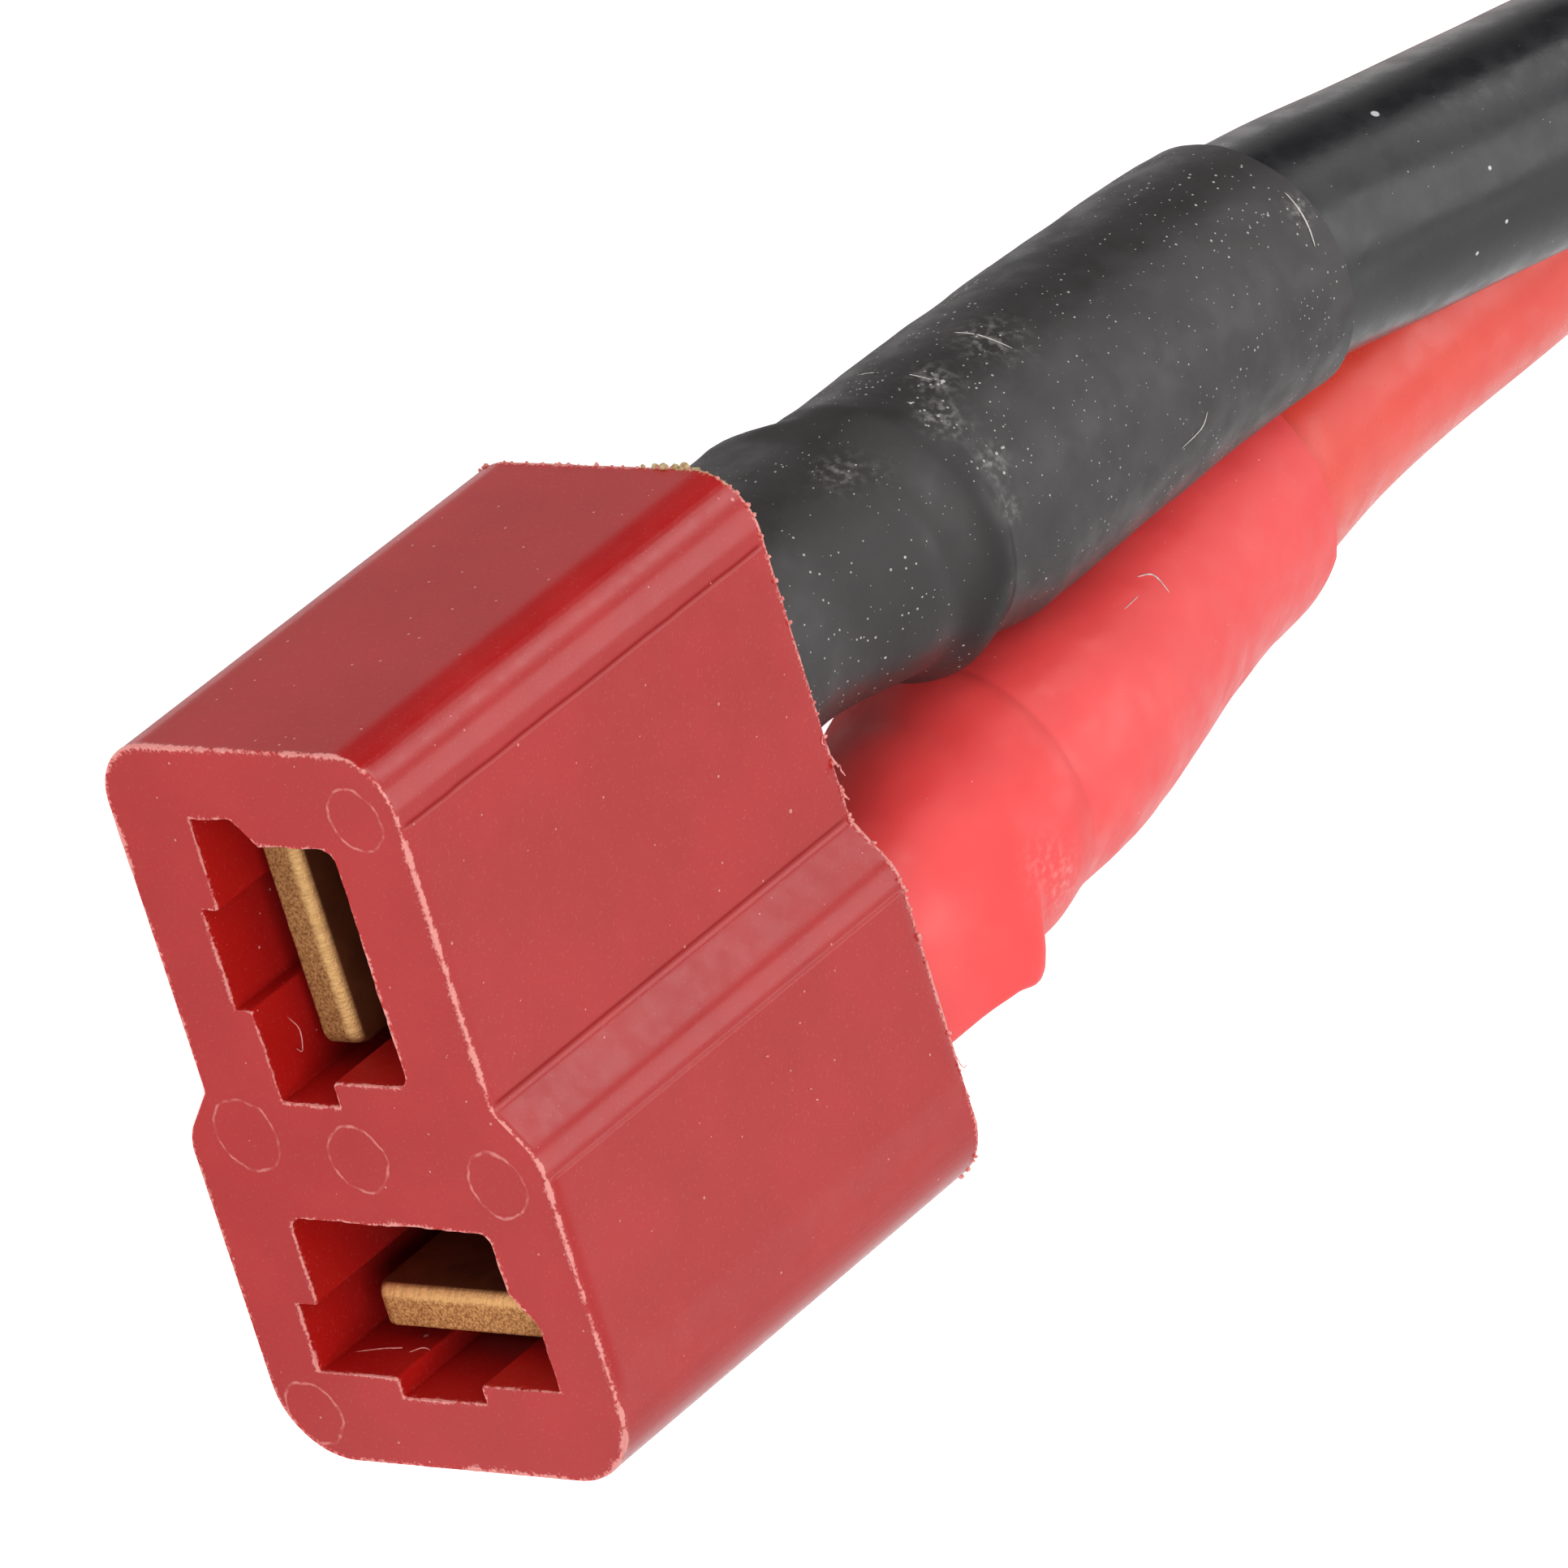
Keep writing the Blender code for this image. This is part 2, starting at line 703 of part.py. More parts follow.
def sleeve_section(pole, line, depth):
    """The sleeve's ring at a depth: flat-bottomed over the tail, round over the lead."""
    a, b = pole.across(*on_line(line, FACE_Y + depth))
    start = BODY_DEPTH + SLEEVE_SEAT_GAP
    share = eased(1 + (depth - pole.lead_depth) / SLEEVE_STEP_LENGTH)
    bulge = 1 - (depth - start) / pole.sleeve_length
    radius = LEAD_DIAMETER / 2 + SLEEVE_GAP + SLEEVE_WALL + SLEEVE_BULGE * 2 * bulge
    off = (depth - pole.lead_depth + SLEEVE_GROOVE_WIDTH) / SLEEVE_GROOVE_WIDTH
    sunk = SLEEVE_GROOVE * math.exp(-off * off)
    shell = SLEEVE_WALL + JOINT_GAP
    flat_half = TAIL_WIDTH / 2 + shell
    flat_low = BAR_MIDDLE - BAR_THICKNESS / 2 - shell
    strands = STRAND_RISE + STRAND_PRESSED_HEIGHT + SOLDER_FILM + JOINT_GAP
    flat_high = strands + TRAVEL_ROOM + SLEEVE_WALL
    centre = mix(pole.bar_offset, a, share)
    half = mix(flat_half, radius, share) - sunk
    low = mix(flat_low, b - radius, share)
    high = mix(flat_high, b + radius, share) - sunk
    low_corner = mix(SLEEVE_LOW_CORNER, radius, share)
    high_corner = mix(SLEEVE_HIGH_CORNER, radius, share)
    corner_room = (high - low) / 2
    low_corner = min(low_corner, half, corner_room)
    high_corner = min(high_corner, half, corner_room)
    ring = []
    corners = (
        (1, 1, high, high_corner),
        (-1, 1, high, high_corner),
        (-1, -1, low, low_corner),
        (1, -1, low, low_corner),
    )
    for quarter, (side, up, level, corner) in enumerate(corners):
        for k in range(SECTION_QUARTER + 1):
            angle = math.pi / 2 * (quarter + k / SECTION_QUARTER)
            x = centre + side * (half - corner) + corner * math.cos(angle)
            z = level - up * corner + corner * math.sin(angle)
            ring.append((x, depth, z))
    return ring


def build_sleeve(pole, line, seat, into, material):
    """The heat-shrink sleeve: a thin open tube that steps up from the tail to the lead."""
    start = BODY_DEPTH + SLEEVE_SEAT_GAP
    rings = []
    for k in range(SLEEVE_RINGS):
        depth = start + pole.sleeve_length * k / (SLEEVE_RINGS - 1)
        rings.append(sleeve_section(pole, line, depth))
    mesh = loft(f"{pole.name}_sleeve", rings, caps=False)
    sleeve = add(f"{pole.name}_sleeve", mesh, into, material, seat)
    weld = sleeve.modifiers.new("weld", "WELD")
    weld.merge_threshold = WELD
    wall = sleeve.modifiers.new("wall", "SOLIDIFY")
    wall.thickness = SLEEVE_WALL
    wall.offset = -1
    wall.use_even_offset = True
    smooth(sleeve)
    return sleeve


def build():
    """Builds the whole object, pole by pole, around its housing."""
    clear_scene()
    parts = collection("Two-pole power socket")
    cutters = collection("Cutters")
    nylon = principled("red nylon", (0.50, 0.055, 0.06), 0.45)
    brass = principled("brass contact", (0.62, 0.42, 0.16), 0.35, 1.0)
    steel = principled("spring steel", (0.55, 0.55, 0.56), 0.3, 1.0)
    copper = principled("tinned copper", (0.70, 0.66, 0.60), 0.35, 1.0)
    solder = principled("solder", (0.60, 0.60, 0.61), 0.25, 1.0)
    build_housing(parts, cutters, nylon)
    for pole in POLES:
        seat = pole_seat(pole, parts)
        pivot = pole_pivot(pole, seat, parts)
        line = lead_line(pole)
        sleeving = principled(f"{pole.name} sleeve", pole.colour, 0.55)
        silicone = principled(f"{pole.name} silicone", pole.colour, 0.4)
        build_contact(pole, pivot, parts, brass)
        build_spring(pole, seat, parts, steel)
        build_conductor(pole, pivot, parts, copper)
        build_solder(pole, pivot, parts, solder)
        build_lead(pole, line, parts, silicone)
        build_tinned_end(pole, line, parts, copper)
        build_sleeve(pole, line, seat, parts, sleeving)


build()
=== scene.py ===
"""Looks of a two-pole power socket with sleeved leads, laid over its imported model.

Frame: +X along the face from the negative to the positive pole, +Y back along the leads, +Z up.
Sizes are in metres. Sections are worked out in a pole's own plane (a along the bar's width, b
across it) and then turned into (x, z).
"""

import logging
import math
from dataclasses import dataclass
from enum import Enum
from typing import Optional, Sequence

import bmesh
import bpy
import numpy as np
from mathutils import Matrix, Vector
from mathutils.bvhtree import BVHTree


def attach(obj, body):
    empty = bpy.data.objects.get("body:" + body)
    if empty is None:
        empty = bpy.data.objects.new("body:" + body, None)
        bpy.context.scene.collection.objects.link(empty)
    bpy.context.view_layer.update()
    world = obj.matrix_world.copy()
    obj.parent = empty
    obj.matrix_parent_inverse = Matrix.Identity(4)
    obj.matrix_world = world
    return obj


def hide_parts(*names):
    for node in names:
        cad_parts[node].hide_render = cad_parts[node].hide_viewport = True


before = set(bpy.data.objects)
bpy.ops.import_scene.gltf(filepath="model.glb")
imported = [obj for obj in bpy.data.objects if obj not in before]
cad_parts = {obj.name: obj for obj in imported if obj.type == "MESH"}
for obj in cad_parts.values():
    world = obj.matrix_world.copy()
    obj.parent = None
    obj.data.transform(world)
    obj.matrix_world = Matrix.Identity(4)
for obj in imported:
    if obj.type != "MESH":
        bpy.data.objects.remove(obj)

LOG = logging.getLogger("power_socket")
MM = 0.001
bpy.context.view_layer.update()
SOCKET = "socket"

Colour = tuple[float, float, float]


# Places shared with the model's own sizes
FACE_LENGTH = 16.0 * MM
BODY_DEPTH = 11.9 * MM
MID_HEIGHT = 4.55 * MM
SLEEVE_LENGTH = 19.1 * MM
SLEEVE_SEAT_GAP = 0.1 * MM
FACE_Y = -(BODY_DEPTH + SLEEVE_SEAT_GAP + SLEEVE_LENGTH) / 2
REAR_Y = FACE_Y + BODY_DEPTH
REAR_WALL = 2.0 * MM
BAR_THICKNESS = 0.85 * MM
BAR_WIDTH = 5.1 * MM
BAR_SETBACK = 1.2 * MM
BAR_LEDGE_GAP = 0.27 * MM
BAR_MIDDLE = -BAR_LEDGE_GAP - BAR_THICKNESS / 2
TAIL_WIDTH = 4.9 * MM
TAIL_LENGTH = 5.1 * MM
JOINT_GAP = 0.1 * MM
STRAND_RISE = -BAR_LEDGE_GAP + JOINT_GAP
STRAND_DIAMETER = 3.0 * MM
STRANDS_LAID = 2.50 * MM
SOLDER_COVER = 0.16 * MM
JOINT_SWELL = 0.34 * MM
LEAD_DIAMETER = 5.25 * MM
LEAD_LENGTH = 100.0 * MM
LEAD_RISE = STRAND_RISE + STRAND_DIAMETER / 2
LYING_HEIGHT = LEAD_DIAMETER / 2 + 0.02 * MM
TINNED_LENGTH = 7.0 * MM

# Points closer than these are one vertex, or too close for two of them on the housing's rim
SAME_PLACE = 2e-7
TOO_CLOSE = 2e-6


class Side(Enum):
    """The two poles, which are also the two ways that the lead and sleeve are coloured."""

    NEGATIVE = "negative"
    POSITIVE = "positive"


@dataclass(frozen=True)
class ValueNoise:
    """Smooth random values on a repeating cubic lattice."""

    seed: int
    cells: int = 32

    def at(self, points: np.ndarray, cell: float) -> np.ndarray:
        """Value noise: lattice values blended with t*t*(3 - 2t) along every axis.

        Args:
            points: Places, with x, y and z in the last axis.
            cell: Size of one lattice cell.

        Returns:
            One value from -1 to 1 for every place.
        """
        table = np.random.default_rng(self.seed).uniform(-1.0, 1.0, (self.cells,) * 3)
        scaled = points / cell + 0.37
        low = np.floor(scaled).astype(int)
        share = scaled - low
        share = share * share * (3.0 - 2.0 * share)
        total = np.zeros(points.shape[:-1])
        for corner in range(8):
            step = np.array([corner & 1, corner >> 1 & 1, corner >> 2 & 1])
            index = (low + step) % self.cells
            weight = np.where(step == 1, share, 1.0 - share).prod(axis=-1)
            total += weight * table[index[..., 0], index[..., 1], index[..., 2]]
        return total

    def rough(self, points: np.ndarray, cell: float, octaves: int = 3) -> np.ndarray:
        """Sum of ever finer and fainter noise, each octave half as large as the last.

        Args:
            points: Places in metres.
            cell: Size of the first octave's cells in metres.
            octaves: Number of octaves.

        Returns:
            One value for each place.
        """
        total = np.zeros(points.shape[:-1])
        for octave in range(octaves):
            total += self.at(points, cell / 2**octave) / 2**octave
        return total / (2.0 - 0.5 ** (octaves - 1))


@dataclass
class Sheet:
    """A grid of points, rows by columns, whose last column joins the first.

    Attributes:
        points: Array of rows, columns and x, y, z.
        pale: Rows by columns: whitening from 0 to 1, or painted shade where it is below 0.
    """

    points: np.ndarray
    pale: Optional[np.ndarray] = None

    def faces(self, start: int) -> np.ndarray:
        """Quads between neighbouring rows and columns, numbered from a first vertex."""
        rows, columns = self.points.shape[:2]
        index = start + np.arange(rows * columns).reshape(rows, columns)
        index = np.hstack([index, index[:, :1]])
        corners = (index[:-1, :-1], index[:-1, 1:], index[1:, 1:], index[1:, :-1])
        return np.stack(corners, axis=-1).reshape(-1, 4)


def sheets_to_object(name: str, sheets: Sequence[Sheet]) -> bpy.types.Object:
    """Joins grids into one closed mesh object at the origin.

    Vertices that round to the same place are one vertex, and a quad that lost a corner becomes a
    triangle.

    Args:
        name: The object's name.
        sheets: Grids whose shared edges have the same points.

    Returns:
        The object, linked to the scene, with a float attribute called pale.
    """
    points = np.concatenate([s.points.reshape(-1, 3) for s in sheets])
    pale = [
        np.zeros(s.points.shape[:2]).ravel() if s.pale is None else s.pale.ravel() for s in sheets
    ]
    starts = np.cumsum([0] + [s.points.shape[0] * s.points.shape[1] for s in sheets])
    quads = np.concatenate([s.faces(start) for s, start in zip(sheets, starts)])
    keys = np.round(points / SAME_PLACE).astype(np.int64)
    _, first, inverse = np.unique(keys, axis=0, return_index=True, return_inverse=True)
    quads = inverse.reshape(-1)[quads]
    same = quads == np.roll(quads, -1, axis=1)
    whole = quads[same.sum(axis=1) == 0]
    broken = quads[same.sum(axis=1) == 1]
    keep = ~same[same.sum(axis=1) == 1]
    triangles = broken[keep].reshape(-1, 3)
    faces = whole.tolist() + triangles.tolist()
    mesh = bpy.data.meshes.new(name)
    mesh.from_pydata(points[first].tolist(), [], faces)
    attribute = mesh.attributes.new("pale", "FLOAT", "POINT")
    attribute.data.foreach_set("value", np.concatenate(pale)[first].astype(np.float32))
    mesh.validate()
    shape = bmesh.new()
    shape.from_mesh(mesh)
    bmesh.ops.recalc_face_normals(shape, faces=shape.faces)
    shape.to_mesh(mesh)
    shape.free()
    obj = bpy.data.objects.new(name, mesh)
    bpy.context.scene.collection.objects.link(obj)
    mesh.shade_smooth()
    mesh.set_sharp_from_angle(angle=math.radians(50))
    return obj


def eased(value: np.ndarray) -> np.ndarray:
    """Smooth step from 0 to 1 as the value goes from 0 to 1."""
    held = np.clip(value, 0.0, 1.0)
    return held * held * (3.0 - 2.0 * held)


def curved(points: np.ndarray, count: int) -> np.ndarray:
    """A Catmull-Rom curve through points, as a number of points even in the curve's parameter.

    Between the points p1 and p2 it is half of 2 p1 + (p2 - p0) t + (2 p0 - 5 p1 + 4 p2 - p3) t^2
    + (3 p1 - p0 - 3 p2 + p3) t^3.

    Args:
        points: Places to pass through, in order.
        count: Number of points of the result.

    Returns:
        The curve's points, in order.
    """
    padded = np.vstack([2 * points[0] - points[1], points, 2 * points[-1] - points[-2]])
    place = np.linspace(0.0, len(points) - 1 - 1e-9, count)
    index = place.astype(int)
    t = (place - index)[:, None]
    p0, p1, p2, p3 = (padded[index + k] for k in range(4))
    square = (2 * p0 - 5 * p1 + 4 * p2 - p3) * t**2
    cube = (3 * p1 - p0 - 3 * p2 + p3) * t**3
    return (2 * p1 + (p2 - p0) * t + square + cube) / 2


def divided(line: np.ndarray, step: float) -> np.ndarray:
    """A closed polygon with every edge cut into equal pieces no longer than the step.

    Args:
        line: The polygon's points, in order.
        step: Length in metres that no piece exceeds.

    Returns:
        The old points and the new ones, in order.
    """
    pieces = []
    for start, end in zip(line, np.roll(line, -1, axis=0)):
        count = max(1, int(math.ceil(np.linalg.norm(end - start) / step)))
        share = np.arange(count)[:, None] / count
        pieces.append(start + (end - start) * share)
    return np.concatenate(pieces)


def filleted(corners: Sequence[tuple[float, float, float]], fineness: float) -> np.ndarray:
    """An outline through corners, each rounded by an arc tangent to both of its edges.

    Args:
        corners: Corner places with their radii, in order.
        fineness: Largest turn between two points of an arc, in radians.

    Returns:
        The outline's points.
    """
    points = []
    count = len(corners)
    for i, (x, y, radius) in enumerate(corners):
        here = Vector((x, y))
        if radius <= 0.0:
            points.append(tuple(here))
            continue
        back = (Vector(corners[i - 1][:2]) - here).normalized()
        ahead = (Vector(corners[(i + 1) % count][:2]) - here).normalized()
        half = back.angle(ahead) / 2
        centre = here + (back + ahead).normalized() * (radius / math.sin(half))
        first = here + back * (radius / math.tan(half)) - centre
        last = here + ahead * (radius / math.tan(half)) - centre
        sweep = math.copysign(math.pi - 2 * half, first.cross(last))
        steps = max(1, round(abs(sweep) / fineness))
        for k in range(steps + 1):
            angle = sweep * k / steps
            c = math.cos(angle)
            s = math.sin(angle)
            spoke = Vector((c * first.x - s * first.y, s * first.x + c * first.y))
            points.append(tuple(centre + spoke))
    return np.array(points)


def ray_ring(polygon: np.ndarray, centre: np.ndarray, angles: np.ndarray) -> np.ndarray:
    """Where rays from a centre meet a polygon that each of them meets once.

    The vertices' own angles are sorted, each ray is placed between two of them, and the ray
    crosses the edge from A to B at A + t (B - A), with t = cross(A, d) / cross(d, B - A) up to
    sign.

    Args:
        polygon: Vertices in counter-clockwise order.
        centre: A point that sees the whole polygon.
        angles: Directions of the rays.

    Returns:
        One point for each angle.
    """
    spokes = polygon - centre
    turn = np.arctan2(spokes[:, 1], spokes[:, 0]) % (2 * math.pi)
    start = int(np.argmin(turn))
    spokes = np.roll(spokes, -start, axis=0)
    turn = np.maximum.accumulate(np.roll(turn, -start))
    spokes = np.vstack([spokes, spokes[:1]])
    turn = np.append(turn, turn[0] + 2 * math.pi)
    wanted = angles % (2 * math.pi)
    wanted = np.where(wanted < turn[0], wanted + 2 * math.pi, wanted)
    index = np.clip(np.searchsorted(turn, wanted, side="right") - 1, 0, len(turn) - 2)
    a = spokes[index]
    edge = spokes[index + 1] - a
    c = np.cos(angles)
    s = np.sin(angles)
    below = edge[:, 0] * s - edge[:, 1] * c
    above = a[:, 1] * c - a[:, 0] * s
    flat = np.abs(below) < 1e-12
    t = np.clip(np.where(flat, 0.0, above / np.where(flat, 1.0, below)), 0.0, 1.0)
    return a + edge * t[:, None] + centre


@dataclass(frozen=True)
class Pole:
    """One pole: where its pocket sits, how it is turned about +Y, and what differs in it.

    Attributes:
        side: Which pole it is.
        x: Place of the pocket's middle along the face.
        z: Height of the ledge between the pocket's two steps, or of its middle when turned.
        quarter: 0 for the upright pocket, 1 for the one turned a quarter about +Y.
        bar_offset: How far the bar sits off the pocket's middle.
        bevelled_side: Side of the ledge that ends in a slope.
        bevel_low: Where the slope meets the bar's slot.
        bevel_high: Where the slope meets the blade's slot.
        bared_length: Length of the bared strands.
        sleeve_length: Length of the shrunk sleeve.
        route: Chosen points of the lead behind its sleeve.
    """

    side: Side
    x: float
    z: float
    quarter: int
    bar_offset: float
    bevelled_side: int
    bevel_low: float
    bevel_high: float
    bared_length: float
    sleeve_length: float
    route: tuple[tuple[float, float, float], ...]

    @property
    def lead_depth(self) -> float:
        """How far behind the mating face the lead's insulation begins."""
        return BODY_DEPTH + 0.9 * MM + self.bared_length + JOINT_GAP

    def place(self, plane: np.ndarray) -> np.ndarray:
        """Turns places (a, b) in the pole's plane into places (x, z)."""
        a = plane[..., 0]
        b = plane[..., 1]
        if self.quarter:
            return np.stack([self.x - b, self.z + a], axis=-1)
        return np.stack([self.x + a, self.z + b], axis=-1)

    def across(self, flat: np.ndarray) -> np.ndarray:
        """Turns places (x, z) into places (a, b) in the pole's plane."""
        dx = flat[..., 0] - self.x
        dz = flat[..., 1] - self.z
        if self.quarter:
            return np.stack([dz, -dx], axis=-1)
        return np.stack([dx, dz], axis=-1)

    def lifted(self, plane: np.ndarray, y: np.ndarray) -> np.ndarray:
        """Places (a, b) at depths y as points x, y, z."""
        flat = self.place(plane)
        depth = np.broadcast_to(y, flat.shape[:-1])
        return np.stack([flat[..., 0], depth, flat[..., 1]], axis=-1)


POCKET_PITCH = 0.483 * FACE_LENGTH
POCKET_SHIFT = 0.036 * FACE_LENGTH

NEGATIVE = Pole(
    side=Side.NEGATIVE,
    x=POCKET_SHIFT - POCKET_PITCH / 2,
    z=4.35 * MM,
    quarter=0,
    bar_offset=0.0,
    bevelled_side=-1,
    bevel_low=-0.44 * MM,
    bevel_high=0.07 * MM,
    bared_length=5.4 * MM,
    sleeve_length=18.4 * MM,
    route=(
        (-0.00326, 0.0084, 0.00567),
        (-0.00310, 0.0134, 0.00563),
        (-0.00280, 0.0164, 0.00567),
        (-0.00235, 0.0194, 0.00595),
        (-0.00190, 0.0229, 0.00640),
        (-0.00140, 0.0264, 0.00690),
        (-0.00010, 0.0314, 0.00770),
        (0.00160, 0.0364, 0.00825),
        (0.00360, 0.0414, 0.00815),
        (0.00580, 0.0464, 0.00715),
        (0.00790, 0.0514, 0.00545),
        (0.00960, 0.0569, 0.00365),
        (0.01080, 0.0624, 0.00280),
        (0.01150, 0.0684, LYING_HEIGHT),
        (0.01200, 0.0764, LYING_HEIGHT),
        (0.01260, 0.0864, LYING_HEIGHT),
        (0.01350, 0.0964, LYING_HEIGHT),
        (0.01480, 0.1084, LYING_HEIGHT),
    ),
)
POSITIVE = Pole(
    side=Side.POSITIVE,
    x=POCKET_SHIFT + POCKET_PITCH / 2,
    z=MID_HEIGHT,
    quarter=1,
    bar_offset=0.30 * MM,
    bevelled_side=1,
    bevel_low=-0.05 * MM,
    bevel_high=0.58 * MM,
    bared_length=6.0 * MM,
    sleeve_length=SLEEVE_LENGTH,
    route=(
        (0.00306, 0.0062, 0.00473),
        (0.00292, 0.0086, 0.00425),
        (0.00262, 0.0109, 0.00377),
        (0.00245, 0.0134, 0.00340),
        (0.00230, 0.0159, 0.00305),
        (0.00215, 0.0184, 0.00277),
        (0.00207, 0.0214, LYING_HEIGHT),
        (0.00205, 0.0264, LYING_HEIGHT),
        (0.00190, 0.0324, LYING_HEIGHT),
        (0.00130, 0.0404, LYING_HEIGHT),
        (0.00040, 0.0484, LYING_HEIGHT),
        (-0.00050, 0.0564, LYING_HEIGHT),
        (-0.00110, 0.0644, LYING_HEIGHT),
        (-0.00130, 0.0724, LYING_HEIGHT),
        (-0.00115, 0.0804, LYING_HEIGHT),
        (-0.00070, 0.0904, LYING_HEIGHT),
        (0.00010, 0.1084, LYING_HEIGHT),
    ),
)
POLES = (NEGATIVE, POSITIVE)


class Finish:
    """A material's node tree, with short ways to add and join its nodes."""

    def __init__(self, name: str) -> None:
        """Makes the material and keeps its tree, shader and object coordinates.

        Args:
            name: The material's name.
        """
        self.material = bpy.data.materials.new(name)
        self.material.use_nodes = True
        self.tree = self.material.node_tree
        self.shader = self.tree.nodes["Principled BSDF"]
        self.place = self.tree.nodes.new("ShaderNodeTexCoord").outputs["Object"]

    def add(self, kind: str, **settings: object) -> bpy.types.Node:
        """Adds a node of a kind and sets its properties.

        Args:
            kind: The node's type.
            settings: Its properties by name.

        Returns:
            The node.
        """
        node = self.tree.nodes.new(kind)
        for key, value in settings.items():
            setattr(node, key, value)
        return node

    def feed(self, target: bpy.types.NodeSocket, source: object) -> None:
        """Links a socket to an input, or sets the input to a value.

        Args:
            target: The input.
            source: The socket or the value.
        """
        if isinstance(source, bpy.types.NodeSocket):
            self.tree.links.new(source, target)
        else:
            target.default_value = source

    def set(self, **values: object) -> None:
        """Sets or links the shader's inputs, named with _ in place of spaces."""
        for key, value in values.items():
            self.feed(self.shader.inputs[key.replace("_", " ")], value)

    def math(self, operation: str, *values: object, clamp: bool = False) -> bpy.types.NodeSocket:
        """The result of a Math node.

        Args:
            operation: The node's operation.
            values: Sockets or numbers for its inputs, in order.
            clamp: Whether the result is held between 0 and 1.

        Returns:
            The node's output.
        """
        node = self.add("ShaderNodeMath", operation=operation, use_clamp=clamp)
        for target, value in zip(node.inputs, values):
            self.feed(target, value)
        return node.outputs[0]

    def noise(self, size: float, detail: float = 3.0, place: object = None) -> bpy.types.NodeSocket:
        """Noise from 0 to 1 whose features are about a size in metres.

        Args:
            size: The features' size.
            detail: The node's detail.
            place: Coordinates to use, the object coordinates unless given.

        Returns:
            The noise's output.
        """
        node = self.add("ShaderNodeTexNoise")
        self.feed(node.inputs["Vector"], place or self.place)
        node.inputs["Scale"].default_value = 1.0 / size
        node.inputs["Detail"].default_value = detail
        return node.outputs["Fac"]

    def dots(self, size: float, share: float, thick: object = 1.0) -> bpy.types.NodeSocket:
        """Sparse round specks: 1 near the middle of some Voronoi cells, else 0.

        Args:
            size: Distance between neighbouring cells.
            share: Radius of the largest speck as a share of the size.
            thick: What every radius is multiplied by.

        Returns:
            The socket of the mask.
        """
        cells = self.add("ShaderNodeTexVoronoi")
        self.feed(cells.inputs["Vector"], self.place)
        cells.inputs["Scale"].default_value = 1.0 / size
        picked = self.add("ShaderNodeSeparateColor")
        self.feed(picked.inputs[0], cells.outputs["Color"])
        radius = self.math("MULTIPLY", self.math("MULTIPLY", picked.outputs[0], share), thick)
        return self.math("LESS_THAN", cells.outputs["Distance"], radius)

    def span(
        self, value: object, low: float, high: float, out_low: float = 0.0, out_high: float = 1.0
    ) -> bpy.types.NodeSocket:
        """Maps a range of values onto another, held at its ends.

        Args:
            value: Socket or number to map.
            low: Value that becomes out_low.
            high: Value that becomes out_high.
            out_low: First end of the result.
            out_high: Second end of the result.

        Returns:
            The mapped value.
        """
        node = self.add("ShaderNodeMapRange", interpolation_type="SMOOTHSTEP")
        self.feed(node.inputs["Value"], value)
        keys = ("From Min", "From Max", "To Min", "To Max")
        for key, number in zip(keys, (low, high, out_low, out_high)):
            node.inputs[key].default_value = number
        return node.outputs["Result"]

    def apart(
        self, spot: tuple[float, float, float], place: object = None
    ) -> bpy.types.NodeSocket:
        """Distance of a place from a spot.

        Args:
            spot: The spot, in metres.
            place: Coordinates to use, the object coordinates unless given.

        Returns:
            The distance in metres.
        """
        node = self.add("ShaderNodeVectorMath", operation="DISTANCE")
        self.feed(node.inputs[0], place or self.place)
        node.inputs[1].default_value = spot
        return node.outputs["Value"]

    def mix(self, share: object, first: object, second: object) -> bpy.types.NodeSocket:
        """Mixes two colours, each a socket or three numbers.

        Args:
            share: How much of the second colour, from 0 to 1.
            first: The first colour.
            second: The second colour.

        Returns:
            The mixed colour.
        """
        node = self.add("ShaderNodeMix", data_type="RGBA")
        self.feed(node.inputs[0], share)
        for slot, value in ((6, first), (7, second)):
            colour = value if isinstance(value, bpy.types.NodeSocket) else (*value, 1.0)
            self.feed(node.inputs[slot], colour)
        return node.outputs[2]

    def attribute(self, name: str) -> bpy.types.NodeSocket:
        """The value of a mesh attribute."""
        return self.add("ShaderNodeAttribute", attribute_name=name).outputs["Fac"]

    def bump(self, height: object, distance: float, strength: float = 1.0) -> None:
        """Bends the shader's normal by a height, in units of a distance in metres.

        Args:
            height: Socket of the height.
            distance: The unit of height.
            strength: The node's strength.
        """
        node = self.add("ShaderNodeBump")
        node.inputs["Strength"].default_value = strength
        node.inputs["Distance"].default_value = distance
        self.feed(node.inputs["Height"], height)
        self.feed(self.shader.inputs["Normal"], node.outputs["Normal"])

    def stretched(self, scale: tuple[float, float, float]) -> bpy.types.NodeSocket:
        """Object coordinates scaled along each axis."""
        node = self.add("ShaderNodeMapping")
        self.feed(node.inputs["Vector"], self.place)
        node.inputs["Scale"].default_value = scale
        return node.outputs["Vector"]


def dressed(obj: bpy.types.Object, material: bpy.types.Material) -> bpy.types.Object:
    """Gives an object one material in place of any it has."""
    obj.data.materials.clear()
    obj.data.materials.append(material)
    return obj


